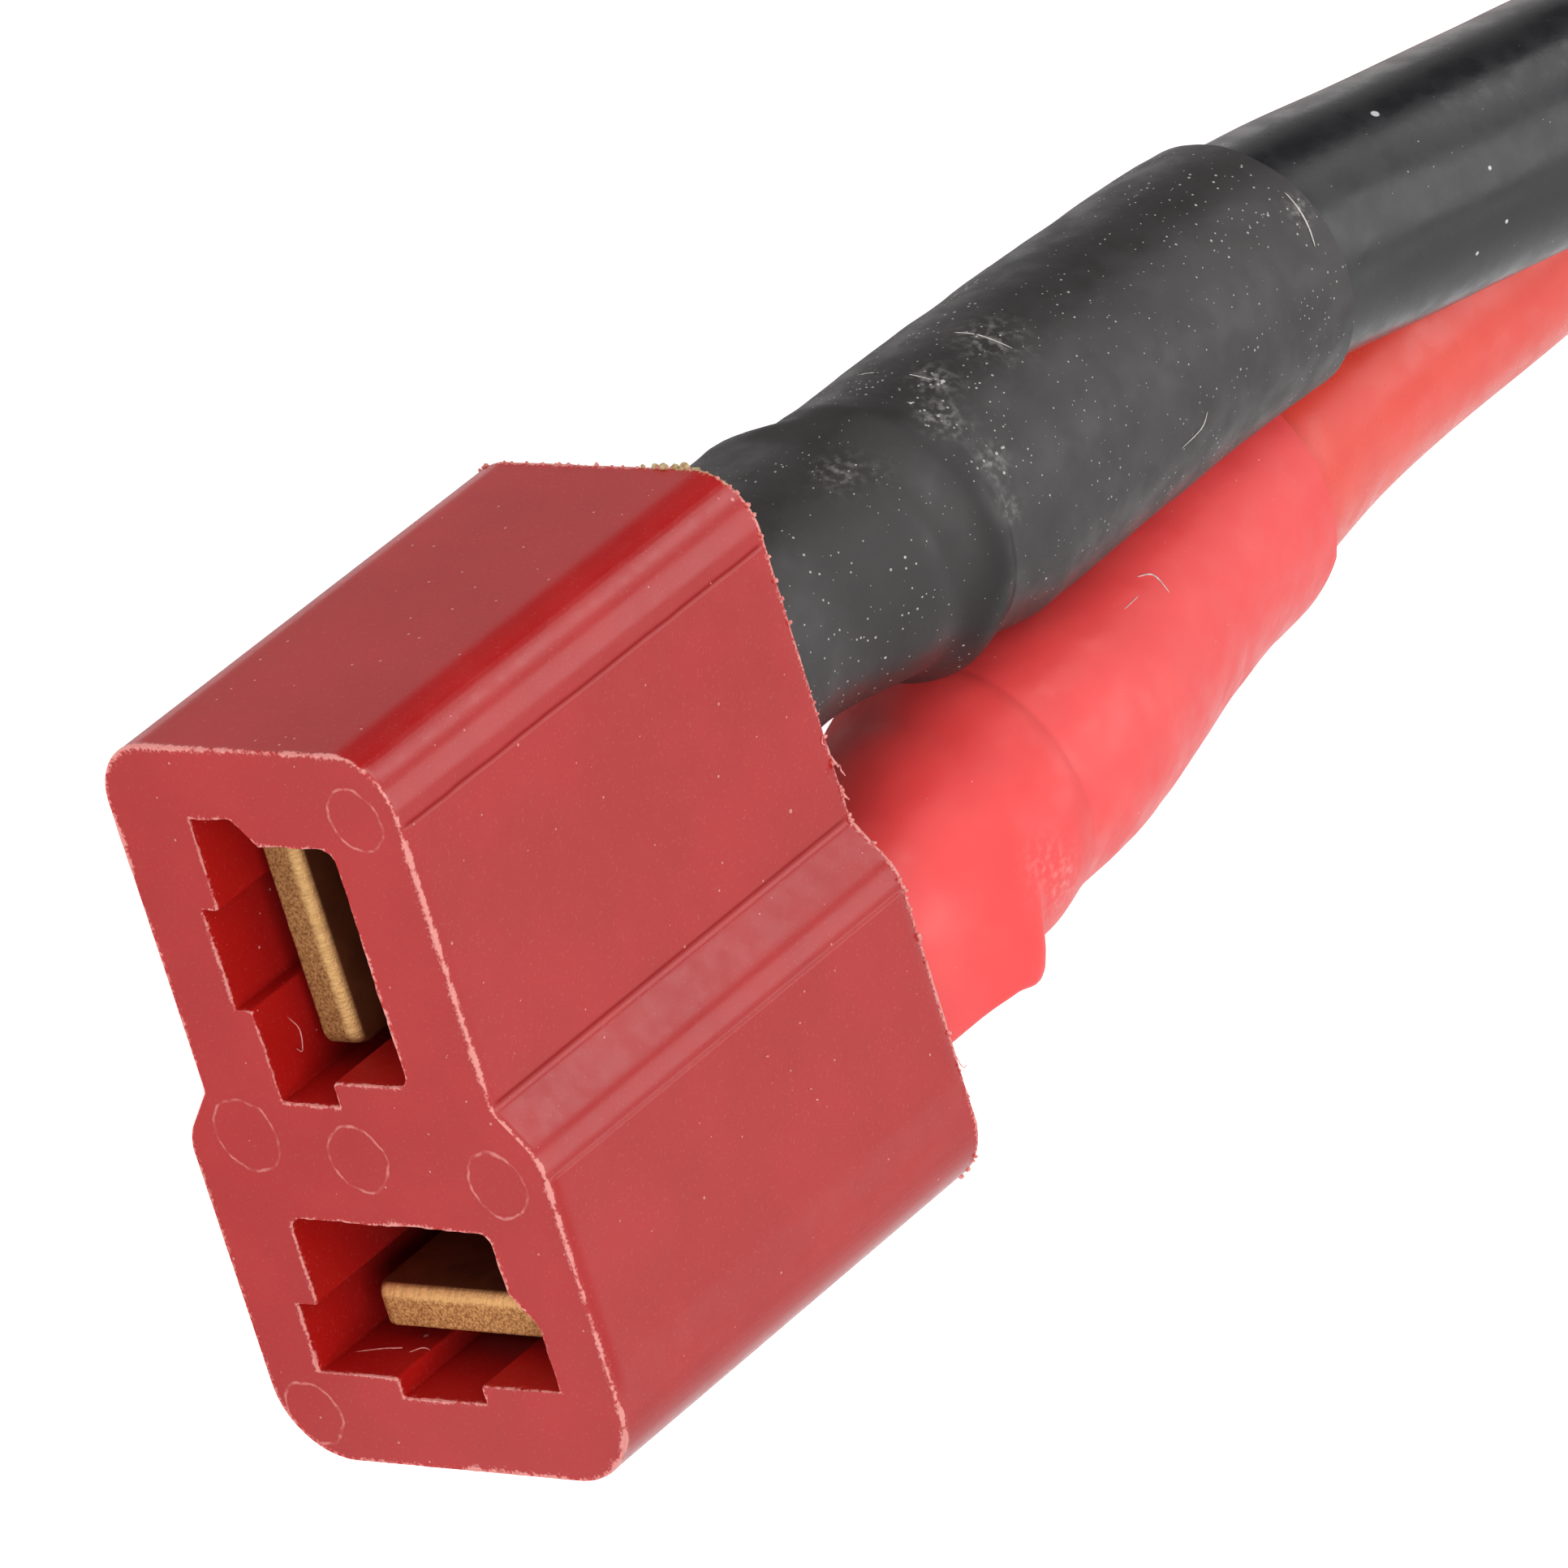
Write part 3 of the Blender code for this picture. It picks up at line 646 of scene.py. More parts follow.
@dataclass(frozen=True)
class NylonFinish:
    """Moulded red nylon: pale flash at the edges, pin marks on the face and sparse dust, with
    painted shade in the pockets and along the broad faces' lines.

    Attributes:
        base: Colour of the sound surface.
        deep: Colour of its darker clouds.
        flash: Colour of whitened edges and burrs.
        pocket: Painted shade of the pockets' walls, dark deep inside; also the colour of the
            painted shade along the broad faces' lines.
        pocket_mouth: Painted glow of those walls near the mouth, where light comes through them.
        residue: Colour of the flux that clings to one stretch of the back edge.
        residue_place: Middle of that stretch.
        marks: Places (x, z) and radii of the ejector pins' rings on the face.
    """

    base: Colour = (0.425, 0.0115, 0.0115)
    deep: Colour = (0.390, 0.0090, 0.0095)
    flash: Colour = (0.72, 0.27, 0.24)
    pocket: Colour = (0.19, 0.0035, 0.0030)
    pocket_mouth: Colour = (0.40, 0.0050, 0.0035)
    residue: Colour = (0.50, 0.37, 0.20)
    residue_place: tuple[float, float, float] = (-7.4 * MM, REAR_Y, 7.0 * MM)
    marks: tuple[tuple[float, float, float], ...] = (
        (-0.00660, 0.00717, 0.00066),
        (0.00064, 0.00159, 0.00080),
        (0.00101, 0.00434, 0.00074),
        (0.00137, 0.00780, 0.00072),
        (0.00697, 0.00089, 0.00070),
    )

    def ring(
        self, finish: Finish, x: float, z: float, radius: float, wobble: bpy.types.NodeSocket
    ) -> bpy.types.NodeSocket:
        """A thin circle on the mating face: 1 on it and 0 elsewhere.

        Args:
            finish: The material being made.
            x: The circle's centre along the face.
            z: The circle's centre in height.
            radius: The circle's radius.
            wobble: What the distance from the centre is off by.

        Returns:
            The socket of the mask.
        """
        flat = finish.add("ShaderNodeVectorMath", operation="MULTIPLY")
        finish.feed(flat.inputs[0], finish.place)
        flat.inputs[1].default_value = (1.0, 0.0, 1.0)
        reach = finish.math("ADD", finish.apart((x, 0.0, z), flat.outputs[0]), wobble)
        off = finish.math("ABSOLUTE", finish.math("SUBTRACT", reach, radius))
        return finish.span(off, 0.012 * MM, 0.042 * MM, 1.0, 0.0)

    def inside(self, finish: Finish, axes: bpy.types.Node) -> bpy.types.NodeSocket:
        """1 within the block of space that holds both pockets, else 0.

        Args:
            finish: The material that is being made.
            axes: The node that separates its coordinates.

        Returns:
            The value's socket.
        """
        mask: object = finish.math("GREATER_THAN", axes.outputs["Y"], FACE_Y + 0.05 * MM)
        for axis, middle, reach in (("X", 0.0, 6.6 * MM), ("Z", MID_HEIGHT, 3.3 * MM)):
            off = finish.math("ABSOLUTE", finish.math("SUBTRACT", axes.outputs[axis], middle))
            mask = finish.math("MULTIPLY", mask, finish.math("LESS_THAN", off, reach))
        return mask

    def make(self) -> bpy.types.Material:
        """Builds the material."""
        finish = Finish("red_nylon")
        clouds = finish.span(finish.noise(2.6 * MM, 3.0), 0.35, 0.65)
        colour = finish.mix(clouds, self.base, self.deep)
        axes = finish.add("ShaderNodeSeparateXYZ")
        finish.feed(axes.inputs[0], finish.place)
        on_face = finish.math("LESS_THAN", axes.outputs["Y"], FACE_Y + 0.12 * MM)
        rings: object = 0.0
        wobble = finish.span(finish.noise(0.45 * MM, 3.0), 0.2, 0.8, -0.05 * MM, 0.05 * MM)
        for x, z, radius in self.marks:
            rings = finish.math("MAXIMUM", rings, self.ring(finish, x, z, radius, wobble))
        broken = finish.span(finish.noise(0.26 * MM, 3.0), 0.38, 0.62, 0.12, 1.0)
        rings = finish.math("MULTIPLY", finish.math("MULTIPLY", rings, on_face), broken)
        grain = finish.noise(0.07 * MM, 3.0)
        frayed = finish.span(grain, 0.3, 0.7, -0.30, 0.30)
        ragged = finish.math("ADD", finish.attribute("pale"), frayed)
        edge = finish.span(ragged, 0.20, 0.80)
        pale = finish.math("MAXIMUM", edge, finish.math("MULTIPLY", rings, 0.60))
        # Painted shade and light in the pockets: the walls are painted dark deep inside and
        # brighter near the mouth, where light comes through them.
        inside = self.inside(finish, axes)
        near_mouth = finish.span(axes.outputs["Y"], FACE_Y + 0.4 * MM, FACE_Y + 3.5 * MM, 1.0, 0.0)
        wall = finish.mix(near_mouth, self.pocket, self.pocket_mouth)
        colour = finish.mix(inside, colour, wall)
        # Painted shade: below 0 the attribute darkens the broad faces' groove and hollow line
        # towards the pockets' painted-shade colour.
        shaded = finish.math("MULTIPLY", finish.attribute("pale"), -1.0, clamp=True)
        colour = finish.mix(finish.math("MULTIPLY", shaded, 0.55), colour, self.pocket)
        near = finish.span(finish.apart(self.residue_place), 0.5 * MM, 1.3 * MM, 1.0, 0.0)
        colour = finish.mix(pale, colour, finish.mix(near, self.flash, self.residue))
        fine, coarse = finish.dots(0.42 * MM, 0.075), finish.dots(1.20 * MM, 0.045)
        dust = finish.math("MAXIMUM", fine, coarse)
        colour = finish.mix(finish.math("MULTIPLY", dust, 0.5), colour, (0.85, 0.45, 0.42))
        gloss = finish.span(finish.noise(0.5 * MM, 4.0), 0.3, 0.7, 0.20, 0.27)
        gloss = finish.math("ADD", gloss, finish.math("MULTIPLY", inside, 0.35))
        streaks = finish.noise(0.10 * MM, 3.0, finish.stretched((1.0, 0.035, 1.0)))
        height = finish.math("MULTIPLY", grain, 0.30)
        for part, weight in ((rings, 0.9), (streaks, 0.35), (dust, 1.0)):
            height = finish.math("ADD", height, finish.math("MULTIPLY", part, weight))
        finish.bump(height, 0.008 * MM, 0.6)
        # Lower specular level in the pockets and on the painted-shade lines, a painted loss of
        # sheen.
        duller = finish.math("MULTIPLY", inside, 0.25)
        duller = finish.math("MAXIMUM", duller, finish.math("MULTIPLY", shaded, 0.35))
        finish.set(
            Base_Color=colour,
            Roughness=gloss,
            Specular_IOR_Level=finish.math("SUBTRACT", 0.43, duller),
            Subsurface_Weight=0.20,
            Subsurface_Radius=(0.9, 0.06, 0.05),
            Subsurface_Scale=0.5 * MM,
            IOR=1.53,
        )
        return finish.material


@dataclass(frozen=True)
class MetalFinish:
    """A worked metal: base colour, darker clouds, fine scratches along a direction and pitting.

    Attributes:
        name: The material's name.
        base: Colour of the clean metal.
        dull: Colour where it has tarnished.
        roughness: Middle roughness.
        scratch: Scale of the scratches along x, y and z; large numbers make them thin.
        grain: Size of the pitting.
        relief: Depth of the pitting.
        cut_end: Where along y a torn, grainy end face lies, or 0 for none.
        torn: Colour of that face's crests.
        torn_dark: Colour of its hollows.
        lip: Colour of the bright sheared lip along its upper edge.
        pitting: How much of the relief the pitting takes outside that face.
        faded: How much darker that face is on the negative bar.
        metallic: Share of the metal's mirror in it; the rest is a dull skin of tarnish.
    """

    name: str
    base: Colour
    dull: Colour
    roughness: float
    scratch: tuple[float, float, float]
    grain: float
    relief: float
    cut_end: float = 0.0
    torn: Colour = (0.74, 0.42, 0.16)
    torn_dark: Colour = (0.34, 0.13, 0.040)
    lip: Colour = (0.98, 0.62, 0.26)
    pitting: float = 0.7
    faded: float = 0.32
    metallic: float = 1.0

    def make(self) -> bpy.types.Material:
        """Builds the material."""
        finish = Finish(self.name)
        clouds = finish.span(finish.noise(1.1 * MM, 4.0), 0.35, 0.7)
        lines = finish.noise(0.08 * MM, 2.0, finish.stretched(self.scratch))
        pits = finish.noise(self.grain, 3.0)
        colour = finish.mix(clouds, self.base, self.dull)
        colour = finish.mix(finish.span(pits, 0.55, 0.75, 0.0, 0.35), colour, self.dull)
        spread = finish.span(lines, 0.3, 0.7, self.roughness - 0.04, self.roughness + 0.06)
        height = finish.math("ADD", pits, finish.math("MULTIPLY", lines, 0.3))
        height = finish.math("MULTIPLY", height, self.pitting)
        if self.cut_end:
            axes = finish.add("ShaderNodeSeparateXYZ")
            finish.feed(axes.inputs[0], finish.place)
            ends = (self.cut_end + 0.16 * MM, self.cut_end + 0.24 * MM)
            cut = finish.span(axes.outputs["Y"], *ends, 1.0, 0.0)
            crumbs = finish.noise(0.055 * MM, 4.0)
            torn = finish.mix(finish.span(crumbs, 0.30, 0.70), self.torn_dark, self.torn)
            colour = finish.mix(cut, colour, torn)
            across = finish.noise(0.045 * MM, 2.0, finish.stretched((0.08, 0.08, 1.0)))
            along = finish.noise(0.045 * MM, 2.0, finish.stretched((1.0, 0.08, 0.08)))
            left = finish.math("LESS_THAN", axes.outputs["X"], 0.0)
            stripes = finish.math("ADD", finish.math("MULTIPLY", along, left), across)
            stripes = finish.math("SUBTRACT", stripes, finish.math("MULTIPLY", across, left))
            lip = finish.span(stripes, 0.35, 0.65, 0.62, 1.0)
            lip = finish.math("MULTIPLY", finish.attribute("pale"), lip, clamp=True)
            colour = finish.mix(lip, colour, self.lip)
            fade = finish.math("MULTIPLY", finish.math("MULTIPLY", left, cut), self.faded)
            colour = finish.mix(fade, colour, (0.04, 0.02, 0.006))
            standing = finish.math("MULTIPLY", crumbs, cut)
            height = finish.math("ADD", height, finish.math("MULTIPLY", standing, 2.2))
            spread = finish.math("ADD", spread, finish.math("MULTIPLY", cut, 0.12))
        finish.bump(height, self.relief, 0.8)
        finish.set(Base_Color=colour, Roughness=spread, Metallic=self.metallic)
        return finish.material


@dataclass(frozen=True)
class PolymerFinish:
    """A sleeve or lead: base colour, soft clouds, dust specks, a coat of gloss and painted shade in
    a sleeve's crease.

    Attributes:
        name: The material's name.
        base: Colour of the clean surface.
        cloud: Colour of its worn patches.
        dust: Colour of the specks.
        roughness: Middle roughness.
        speck: Distance between the specks.
        speck_share: Radius of the largest speck as a share of that distance.
        scuff: How strongly a worn place turns to the colour of dust.
        glow: Weight of the light scattered inside it.
        relief: Depth of its fine unevenness.
        grains: Places and radii, in millimetres, of pale grains that stick to it.
    """

    name: str
    base: Colour
    cloud: Colour
    dust: Colour
    roughness: float
    speck: float
    speck_share: float
    glow: float
    relief: float
    scuff: float = 0.8
    grains: tuple[tuple[float, float, float, float], ...] = ()

    def make(self) -> bpy.types.Material:
        """Builds the material."""
        finish = Finish(self.name)
        clouds = finish.span(finish.noise(1.8 * MM, 5.0), 0.4, 0.75)
        colour = finish.mix(clouds, self.base, self.cloud)
        # The attribute is wear above 0 and painted crease shade below 0.
        wear_and_crease_shade = finish.attribute("pale")
        crumbs = finish.span(finish.noise(0.17 * MM, 6.0), 0.42, 0.74)
        scuffed = finish.math("MULTIPLY", wear_and_crease_shade, crumbs)
        scuffed = finish.math("MULTIPLY", scuffed, self.scuff, clamp=True)
        colour = finish.mix(scuffed, colour, self.dust)
        height = finish.noise(0.14 * MM, 4.0)
        # Painted shade: below 0, in a sleeve's crease, the colour is mixed towards a third of the
        # base colour and the specular level is lowered with it.
        shade = finish.math("MULTIPLY", wear_and_crease_shade, -1.0, clamp=True)
        darker = tuple(0.3 * c for c in self.base)
        colour = finish.mix(finish.math("MULTIPLY", shade, 0.8), colour, darker)
        thick = finish.span(finish.noise(2.2 * MM, 3.0), 0.35, 0.68, 0.45, 1.0)
        thick = finish.math("ADD", thick, finish.math("MULTIPLY", wear_and_crease_shade, 0.35))
        large = finish.dots(self.speck * 2.4, self.speck_share * 0.40, thick)
        small = finish.dots(self.speck * 0.8, self.speck_share, thick)
        large = finish.math("MULTIPLY", large, 0.9)
        specks = finish.math("MAXIMUM", large, finish.math("MULTIPLY", small, 0.70))
        for x, y, z, radius in self.grains:
            apart = finish.apart((x * MM, y * MM, z * MM))
            grain = finish.span(apart, radius * 0.7 * MM, radius * 1.1 * MM, 1.0, 0.0)
            specks = finish.math("MAXIMUM", specks, grain)
        colour = finish.mix(specks, colour, self.dust)
        height = finish.math("ADD", height, specks)
        spread = finish.span(
            finish.noise(0.7 * MM, 3.0), 0.3, 0.7, self.roughness - 0.06, self.roughness + 0.08
        )
        finish.bump(height, self.relief, 0.7)
        shine = finish.math("SUBTRACT", 0.5, finish.math("MULTIPLY", shade, 0.45))
        finish.set(Base_Color=colour, Roughness=spread, Specular_IOR_Level=shine)
        if self.glow:
            finish.set(
                Subsurface_Weight=self.glow,
                Subsurface_Radius=(0.9, 0.12, 0.08),
                Subsurface_Scale=0.5 * MM,
            )
        return finish.material


@dataclass
class Housing:
    """The moulded housing as one closed skin: face, pocket walls, rear slots and outer wall.

    The three seeds are of the noise in the flash at the front rim, the mouths and the back rim.
    """

    narrow: float = 7.44 * MM
    wide: float = 9.10 * MM
    narrow_corner: float = 1.30 * MM
    wide_corner: float = 1.65 * MM
    hollow_round: float = 0.25 * MM
    crest_round: float = 1.1 * MM
    shoulder_start: float = 0.30 * MM
    shoulder_run: float = 1.05 * MM
    split_x: float = 1.17 * MM
    blade_width: float = 5.2 * MM
    blade_height: float = 1.95 * MM
    bar_slot_width: float = 6.26 * MM
    bar_slot_height: float = 1.55 * MM
    recess_width: float = 2.2 * MM
    recess_depth: float = 0.42 * MM
    slot_clearance: float = 0.13 * MM
    line_rise: float = 0.045 * MM
    line_width: float = 0.07 * MM
    hollow_line: float = -0.38 * MM
    crest_line: float = 1.20 * MM
    step: float = 0.085 * MM
    star: tuple[float, float] = (0.0, -0.3 * MM)
    noise: ValueNoise = ValueNoise(11)
    front_seed: int = 31
    mouth_seed: int = 41
    back_seed: int = 51

    def outline(self) -> np.ndarray:
        """The outer section (x, z), counter-clockwise: narrow end, shoulders, wide end."""
        left = -FACE_LENGTH / 2
        right = FACE_LENGTH / 2
        hollow = POCKET_SHIFT - self.shoulder_start - self.shoulder_run / 2
        crest = hollow + self.shoulder_run
        low = MID_HEIGHT - self.narrow / 2
        high = MID_HEIGHT + self.narrow / 2
        top = MID_HEIGHT + self.wide / 2
        base = MID_HEIGHT - self.wide / 2
        corners = (
            (left, low, self.narrow_corner),
            (hollow, low, self.hollow_round),
            (crest, base, self.crest_round),
            (right, base, self.wide_corner),
            (right, top, self.wide_corner),
            (crest, top, self.crest_round),
            (hollow, high, self.hollow_round),
            (left, high, self.narrow_corner),
        )
        line = divided(filleted(corners, math.radians(5)), self.step)
        return self.refined(line)

    def refined(self, line: np.ndarray) -> np.ndarray:
        """Adds points to the outline where the fine lines of the broad faces run.

        Args:
            line: The outline's points, in order.

        Returns:
            The old points and the new ones, in order.
        """
        after = np.roll(line, -1, axis=0)
        middle = (line[:, 0] + after[:, 0]) / 2
        spans = ((-6.65, -6.0), (-0.60, -0.15), (1.12, 1.32))
        fine = np.zeros(len(line), dtype=bool)
        for low, high in spans:
            fine |= (middle > low * MM) & (middle < high * MM)
        parts = np.where(fine, 4, 1)
        index = np.repeat(np.arange(len(line)), parts)
        share = np.concatenate([np.arange(n) / n for n in parts])[:, None]
        return line[index] * (1.0 - share) + after[index] * share

    def pocket(self, pole: Pole) -> np.ndarray:
        """A pocket's section (a, b), counter-clockwise, with its spring recess.

        Args:
            pole: The pole whose pocket it is.

        Returns:
            The section's points.
        """
        blade = self.blade_width / 2
        bar = self.bar_slot_width / 2
        recess = self.recess_width / 2
        floor = -self.bar_slot_height
        sill = floor - self.recess_depth
        side = pole.bevelled_side
        soft = 0.3 * MM
        tight = 0.06 * MM
        right = [
            (recess, floor, tight),
            (bar, floor, tight),
            (bar, pole.bevel_low if side > 0 else 0.0, tight),
            (blade, pole.bevel_high if side > 0 else 0.0, tight),
            (blade, self.blade_height, soft),
        ]
        left = [
            (-blade, self.blade_height, soft),
            (-blade, pole.bevel_high if side < 0 else 0.0, tight),
            (-bar, pole.bevel_low if side < 0 else 0.0, tight),
            (-bar, floor, tight),
            (-recess, floor, tight),
        ]
        bottom = [(-recess, sill, tight), (recess, sill, tight)]
        return divided(filleted(right + left + bottom, math.radians(15)), self.step)

    def slot(self, pole: Pole) -> np.ndarray:
        """The rear slot's section (a, b), counter-clockwise.

        Args:
            pole: The pole whose slot it is.

        Returns:
            The section's points.
        """
        half = BAR_WIDTH / 2 + self.slot_clearance
        reach = BAR_THICKNESS / 2 + self.slot_clearance
        low = BAR_MIDDLE - reach
        high = BAR_MIDDLE + reach
        corners = np.array([(-half, low), (half, low), (half, high), (-half, high)])
        return divided(corners + [pole.bar_offset, 0.0], self.step * 2)

    def ragged(self, flat: np.ndarray, cell: float, seed: int) -> np.ndarray:
        """Noise over places (x, z)."""
        solid = np.stack([flat[..., 0], np.zeros(flat.shape[:-1]), flat[..., 1]], axis=-1)
        return ValueNoise(seed).rough(solid, cell)

    def sheets(self) -> list[Sheet]:
        """Works out the skin.

        A fan of rays from each pocket's middle meets the pocket, the rear slot and that pocket's
        half of the outline, so a row of points goes from the outline over the face, down the
        pocket, through the slot and back over the rear face to the outline. The outer wall runs
        between the outline's front and back rows.

        Returns:
            The two fans and the outer wall.
        """
        outline = self.outline()
        halves = {
            Side.NEGATIVE: outline[:, 0] <= self.split_x,
            Side.POSITIVE: outline[:, 0] >= self.split_x,
        }
        cuts = self.outline_at_split(outline)
        extra = {side: [] for side in Side}
        seam = list(np.linspace(cuts[0], cuts[1], 60)[1:-1])
        for pole in POLES:
            star = np.array(self.star)
            ring = self.pocket(pole)
            spokes = ring - star
            angles = np.arctan2(spokes[:, 1], spokes[:, 0])
            shell = self.half_shell(outline, halves[pole.side], cuts, pole)
            hits = pole.place(ray_ring(shell, star, angles))
            on_seam = np.abs(hits[:, 0] - self.split_x) < 1e-9
            seam.extend(hits[on_seam, 1])
            extra[pole.side] = hits[~on_seam]
        seam = np.array(sorted(seam))
        seam = seam[np.concatenate([[True], np.diff(seam) > TOO_CLOSE])]
        rim = self.merged_rim(outline, extra, cuts)
        made = []
        for pole in POLES:
            made.append(self.fan(pole, rim, seam, cuts))
        made.append(self.outer_wall(rim))
        return made

    def outline_at_split(self, outline: np.ndarray) -> tuple[float, float]:
        """Lowest and highest z where the outline crosses the line between the two halves.

        Args:
            outline: The outer section (x, z).

        Returns:
            The lowest z and the highest.
        """
        x = outline[:, 0] - self.split_x
        after = np.roll(x, -1)
        crossing = np.nonzero(np.sign(x) != np.sign(after))[0]
        nexts = (crossing + 1) % len(outline)
        share = x[crossing] / (x[crossing] - x[nexts])
        heights = outline[crossing, 1] + (outline[nexts, 1] - outline[crossing, 1]) * share
        return float(heights.min()), float(heights.max())

    def half_shell(
        self, outline: np.ndarray, inside: np.ndarray, cuts: tuple[float, float], pole: Pole
    ) -> np.ndarray:
        """Half of the outline, closed at the split line, counter-clockwise in the pole's plane.

        Args:
            outline: The outer section (x, z).
            inside: Which of its points belong to this half.
            cuts: Lowest and highest z at the split line.
            pole: The pole whose half it is.

        Returns:
            The half's points (a, b).
        """
        part = outline[inside]
        ends = np.array([[self.split_x, cuts[0]], [self.split_x, cuts[1]]])
        shell = pole.across(np.vstack([part, ends]))
        spokes = shell - np.array(self.star)
        return shell[np.argsort(np.arctan2(spokes[:, 1], spokes[:, 0]))]

    def merged_rim(
        self, outline: np.ndarray, extra: dict[Side, np.ndarray], cuts: tuple[float, float]
    ) -> np.ndarray:
        """The outline's own points and those that the pockets' rays add, in order round it.

        Args:
            outline: The outer section (x, z).
            extra: The points that each pole's rays add.
            cuts: Lowest and highest z at the split line.

        Returns:
            The rim's points (x, z).
        """
        steps = np.linalg.norm(np.roll(outline, -1, axis=0) - outline, axis=1)
        lengths = np.concatenate([[0.0], np.cumsum(steps)])
        closed = np.vstack([outline, outline[:1]])
        ends = np.array([[self.split_x, cuts[0]], [self.split_x, cuts[1]]])
        added = np.vstack([extra[Side.NEGATIVE], extra[Side.POSITIVE], ends])
        start = closed[:-1]
        edge = closed[1:] - start
        away = added[:, None, :] - start[None, :, :]
        share = np.clip((away * edge).sum(-1) / (edge * edge).sum(-1), 0.0, 1.0)
        off = np.linalg.norm(away - edge * share[..., None], axis=-1)
        nearest = np.argmin(off, axis=1)
        along = lengths[nearest] + share[np.arange(len(added)), nearest] * steps[nearest]
        order = np.argsort(np.concatenate([lengths[:-1], along]), kind="stable")
        points = np.vstack([outline, added])[order]
        place = np.concatenate([lengths[:-1], along])[order]
        fixed = np.isclose(points[:, 0], self.split_x, atol=1e-12)
        keep = np.concatenate([[True], np.diff(place) > TOO_CLOSE])
        for index in np.nonzero(fixed)[0]:
            keep[index] = True
            if index and place[index] - place[index - 1] < TOO_CLOSE:
                keep[index - 1] = False
            if index + 1 < len(place) and place[index + 1] - place[index] < TOO_CLOSE:
                keep[index + 1] = False
        return points[keep]

    def wander(self, flat: np.ndarray) -> np.ndarray:
        """Sideways raggedness of an edge at places (x, z), in metres."""
        slow = 0.055 * MM * self.ragged(flat, 0.9 * MM, 21)
        return slow + 0.035 * MM * self.ragged(flat, 0.20 * MM, 22)

    def burr(self, flat: np.ndarray, seed: int) -> np.ndarray:
        """How much flash stands at an edge, from 0 to about 1.

        Args:
            flat: Places (x, z) at the edge.
            seed: The noise's seed.

        Returns:
            One value for each place.
        """
        slow = self.ragged(flat, 1.4 * MM, seed)
        quick = self.ragged(flat, 0.24 * MM, seed + 1)
        lumps = np.clip(3.0 * self.ragged(flat, 0.55 * MM, seed + 2) - 1.0, 0.0, 1.0)
        return np.clip(0.62 + 0.45 * slow + 0.6 * quick, 0.12, 1.3) + lumps

    def back_tip(self, burr: np.ndarray) -> np.ndarray:
        """How far the flash of the back edge stands behind the rear face."""
        return (0.055 * np.minimum(burr, 1.6) - 0.035) * MM

    def fan(
        self, pole: Pole, rim: np.ndarray, seam: np.ndarray, cuts: tuple[float, float]
    ) -> Sheet:
        """The rows from the front rim over the face and through the pocket to the back rim.

        Args:
            pole: The pole whose pocket it is.
            rim: Points of the whole outline, with both ends of the split line.
            seam: Heights of the points on the split line.
            cuts: Heights of the split line's ends.

        Returns:
            The sheet, its columns going round the pocket.
        """
        if pole.side is Side.NEGATIVE:
            part = rim[rim[:, 0] <= self.split_x + 1e-12]
        else:
            part = rim[rim[:, 0] >= self.split_x - 1e-12]
        inside = seam[(seam > cuts[0] + 1e-6) & (seam < cuts[1] - 1e-6)]
        line = np.stack([np.full(len(inside), self.split_x), inside], axis=-1)
        outer = pole.across(np.vstack([part, line]))
        star = np.array(self.star)
        angles = np.arctan2(outer[:, 1] - star[1], outer[:, 0] - star[0])
        order = np.argsort(angles)
        outer = outer[order]
        angles = angles[order]
        mouth = ray_ring(self.pocket(pole), star, angles)
        slot = ray_ring(self.slot(pole), np.array([pole.bar_offset, BAR_MIDDLE]), angles)
        on_rim = np.abs(pole.place(outer)[:, 0] - self.split_x) > 1e-9
        return self.fan_rows(pole, outer, mouth, slot, on_rim)

    def fan_rows(
        self,
        pole: Pole,
        outer: np.ndarray,
        mouth: np.ndarray,
        slot: np.ndarray,
        on_rim: np.ndarray,
    ) -> Sheet:
        """Stacks the fan's rows, with raised flash where a row is close to an edge.

        Args:
            pole: The pole whose pocket it is.
            outer: Where each ray meets the edge of the pole's half.
            mouth: Where each ray meets the pocket's mouth.
            slot: Where each ray meets the rear slot.
            on_rim: Which rays end on the housing's rim.

        Returns:
            The fan's grid.
        """
        span = mouth - outer
        length = np.linalg.norm(span, axis=1, keepdims=True)
        near = np.array([0.0, 0.02, 0.045, 0.08, 0.13, 0.22]) * MM
        middle = np.linspace(0.1, 0.9, 6)
        rim_burr = self.burr(pole.place(outer), self.front_seed) * on_rim
        mouth_burr = self.burr(pole.place(mouth), self.mouth_seed)
        planes = []
        heights = []
        flash_and_painted_shade = []

        def add(plane: np.ndarray, y: np.ndarray, white: np.ndarray) -> None:
            """Keeps one row."""
            planes.append(plane)
            heights.append(np.broadcast_to(y, len(plane)))
            flash_and_painted_shade.append(np.broadcast_to(white, len(plane)))

